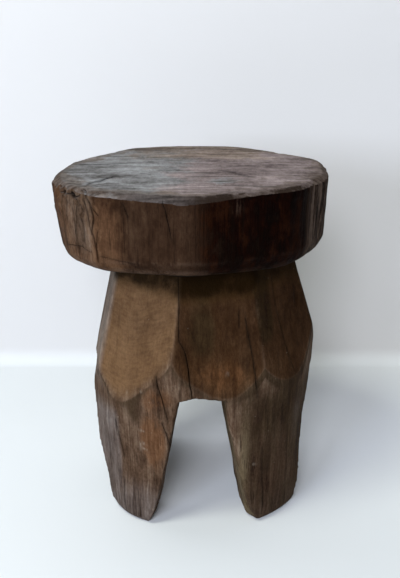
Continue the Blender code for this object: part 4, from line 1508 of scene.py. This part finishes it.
def plaster(name, see_through):
    """A matt pale paint with a faint mottle, darker on the wall than the floor. It can be clear behind."""
    paint_work = Finish(name)
    mottle = paint_work.cloud((9.0, 9.0, 9.0), 3.0, 0.5)
    height = paint_work.node("ShaderNodeSeparateXYZ", {}, {"Vector": paint_work.place}, "Z")
    tone = paint_work.mix(paint_work.step(height, -0.006, 0.030), FLOOR_PAINT, WALL_PAINT)
    tone = paint_work.mix(mottle * 0.03, tone, MOTTLE_PAINT)
    surface = paint_work.finish(tone, 0.85, mottle, 0.0004, 0.2)
    if see_through:
        behind = paint_work.node("ShaderNodeNewGeometry", {}, {}, "Backfacing")
        clear = paint_work.node("ShaderNodeBsdfTransparent", {}, {})
        solid = Amount(paint_work, paint_work.shader.outputs["BSDF"])
        both = paint_work.node("ShaderNodeMixShader", {}, {0: behind, 1: solid, 2: clear})
        paint_work.tree.links.new(both.socket, paint_work.tree.nodes["Material Output"].inputs["Surface"])
    return surface


def sheet(name, profile, material):
    """A strip of the room: a profile of (y, z) points carried from side to side."""
    points = [(x, y, z) for y, z in profile for x in (-ROOM, ROOM)]
    first = np.arange(len(profile) - 1) * 2
    mesh = bpy.data.meshes.new(name)
    mesh.from_pydata(points, [], np.stack([first, first + 1, first + 3, first + 2], axis=-1).tolist())
    mesh.shade_smooth()
    mesh.materials.append(material)
    made = bpy.data.objects.new(name, mesh)
    bpy.context.scene.collection.objects.link(made)
    return made


turn = np.radians(np.linspace(0.0, 90.0, 13))
cove = np.stack([WALL_Y - COVE + COVE * np.sin(turn), COVE - COVE * np.cos(turn)], axis=-1).tolist()
floor = sheet("floor", [(-ROOM, 0.0), (ROOM, 0.0)], plaster("floor paint", False))
wall = sheet("wall", cove + [(WALL_Y, WALL_HEIGHT)], plaster("wall paint", True))
wall.visible_shadow = False
print("room: floor and wall at y =", WALL_Y)

# %% [markdown]
# ## Light
# Three soft windows light the room: a low one at the front left, a high one over the left shoulder and one
# nearly in front. The share of each was found from the photograph's shadows. A weak sky fills the rest, so
# the left faces are bright and the right ones dim. A camera never sees the lamps themselves, and to it
# alone the sky looks pale.

# %% Light
AIM, DISTANCE, WINDOW_SIZE = np.array([0.0, 0.0, 0.2]), 2.4, 0.6
SKY_LIGHT, SKY_SEEN = 0.12, 0.85


def window(name, bearing, climb, watts, colour):
    """A square soft lamp at a bearing and an angle of climb from the aim point, turned to face it."""
    lamp = bpy.data.lights.new(name, "AREA")
    lamp.shape = "SQUARE"
    lamp.size = WINDOW_SIZE
    lamp.energy = watts
    lamp.color = colour
    made = bpy.data.objects.new(name, lamp)
    up = np.radians(climb)
    made.location = AIM + DISTANCE * (heading(np.array(bearing)) * np.cos(up) + UP * np.sin(up))
    made.rotation_euler = (np.pi / 2.0 - up, 0.0, np.radians(bearing))
    made.visible_camera = False
    bpy.context.scene.collection.objects.link(made)
    return made


window("low window", -30.0, 15.0, 24.0, (0.88, 0.97, 1.15))
window("high window", -45.0, 62.0, 24.5, (1.01, 1.05, 0.94))
window("front window", -8.0, 30.0, 26.5, (0.95, 0.98, 1.07))
sky = bpy.context.scene.world or bpy.data.worlds.new("sky")
bpy.context.scene.world = sky
sky.use_nodes = True
tree = sky.node_tree
lit, seen = tree.nodes["Background"], tree.nodes.new("ShaderNodeBackground")
for background, strength in ((lit, SKY_LIGHT), (seen, SKY_SEEN)):
    background.inputs["Color"].default_value = (1.0, 1.0, 1.0, 1.0)
    background.inputs["Strength"].default_value = strength
eye, both = tree.nodes.new("ShaderNodeLightPath"), tree.nodes.new("ShaderNodeMixShader")
tree.links.new(eye.outputs["Is Camera Ray"], both.inputs[0])
tree.links.new(lit.outputs[0], both.inputs[1])
tree.links.new(seen.outputs[0], both.inputs[2])
tree.links.new(both.outputs[0], tree.nodes["World Output"].inputs["Surface"])
bpy.context.scene.view_settings.view_transform = "Standard"
print("three windows and a weak sky")

# %% [markdown]
# ## Camera
# The camera stands in front at sitting height and looks down by 19 degrees. Its place and lens were fitted
# to the photograph, whose frame is 400 by 578.

# %% Camera
SENSOR, FOCAL_PIXELS, FRAME_PIXELS = 36.0, 800.0, 578.0
CAMERA_PLACE, LOOK_DOWN = (0.0085, -0.9254, 0.5904), 19.07
lens = bpy.data.cameras.new("camera")
lens.sensor_width = SENSOR
lens.lens = SENSOR * FOCAL_PIXELS / FRAME_PIXELS
camera = bpy.data.objects.new("camera", lens)
camera.location = CAMERA_PLACE
camera.rotation_euler = (np.radians(90.0 - LOOK_DOWN), 0.0, 0.0)
bpy.context.scene.collection.objects.link(camera)
bpy.context.scene.camera = camera
print("lens", round(lens.lens, 2), "mm")
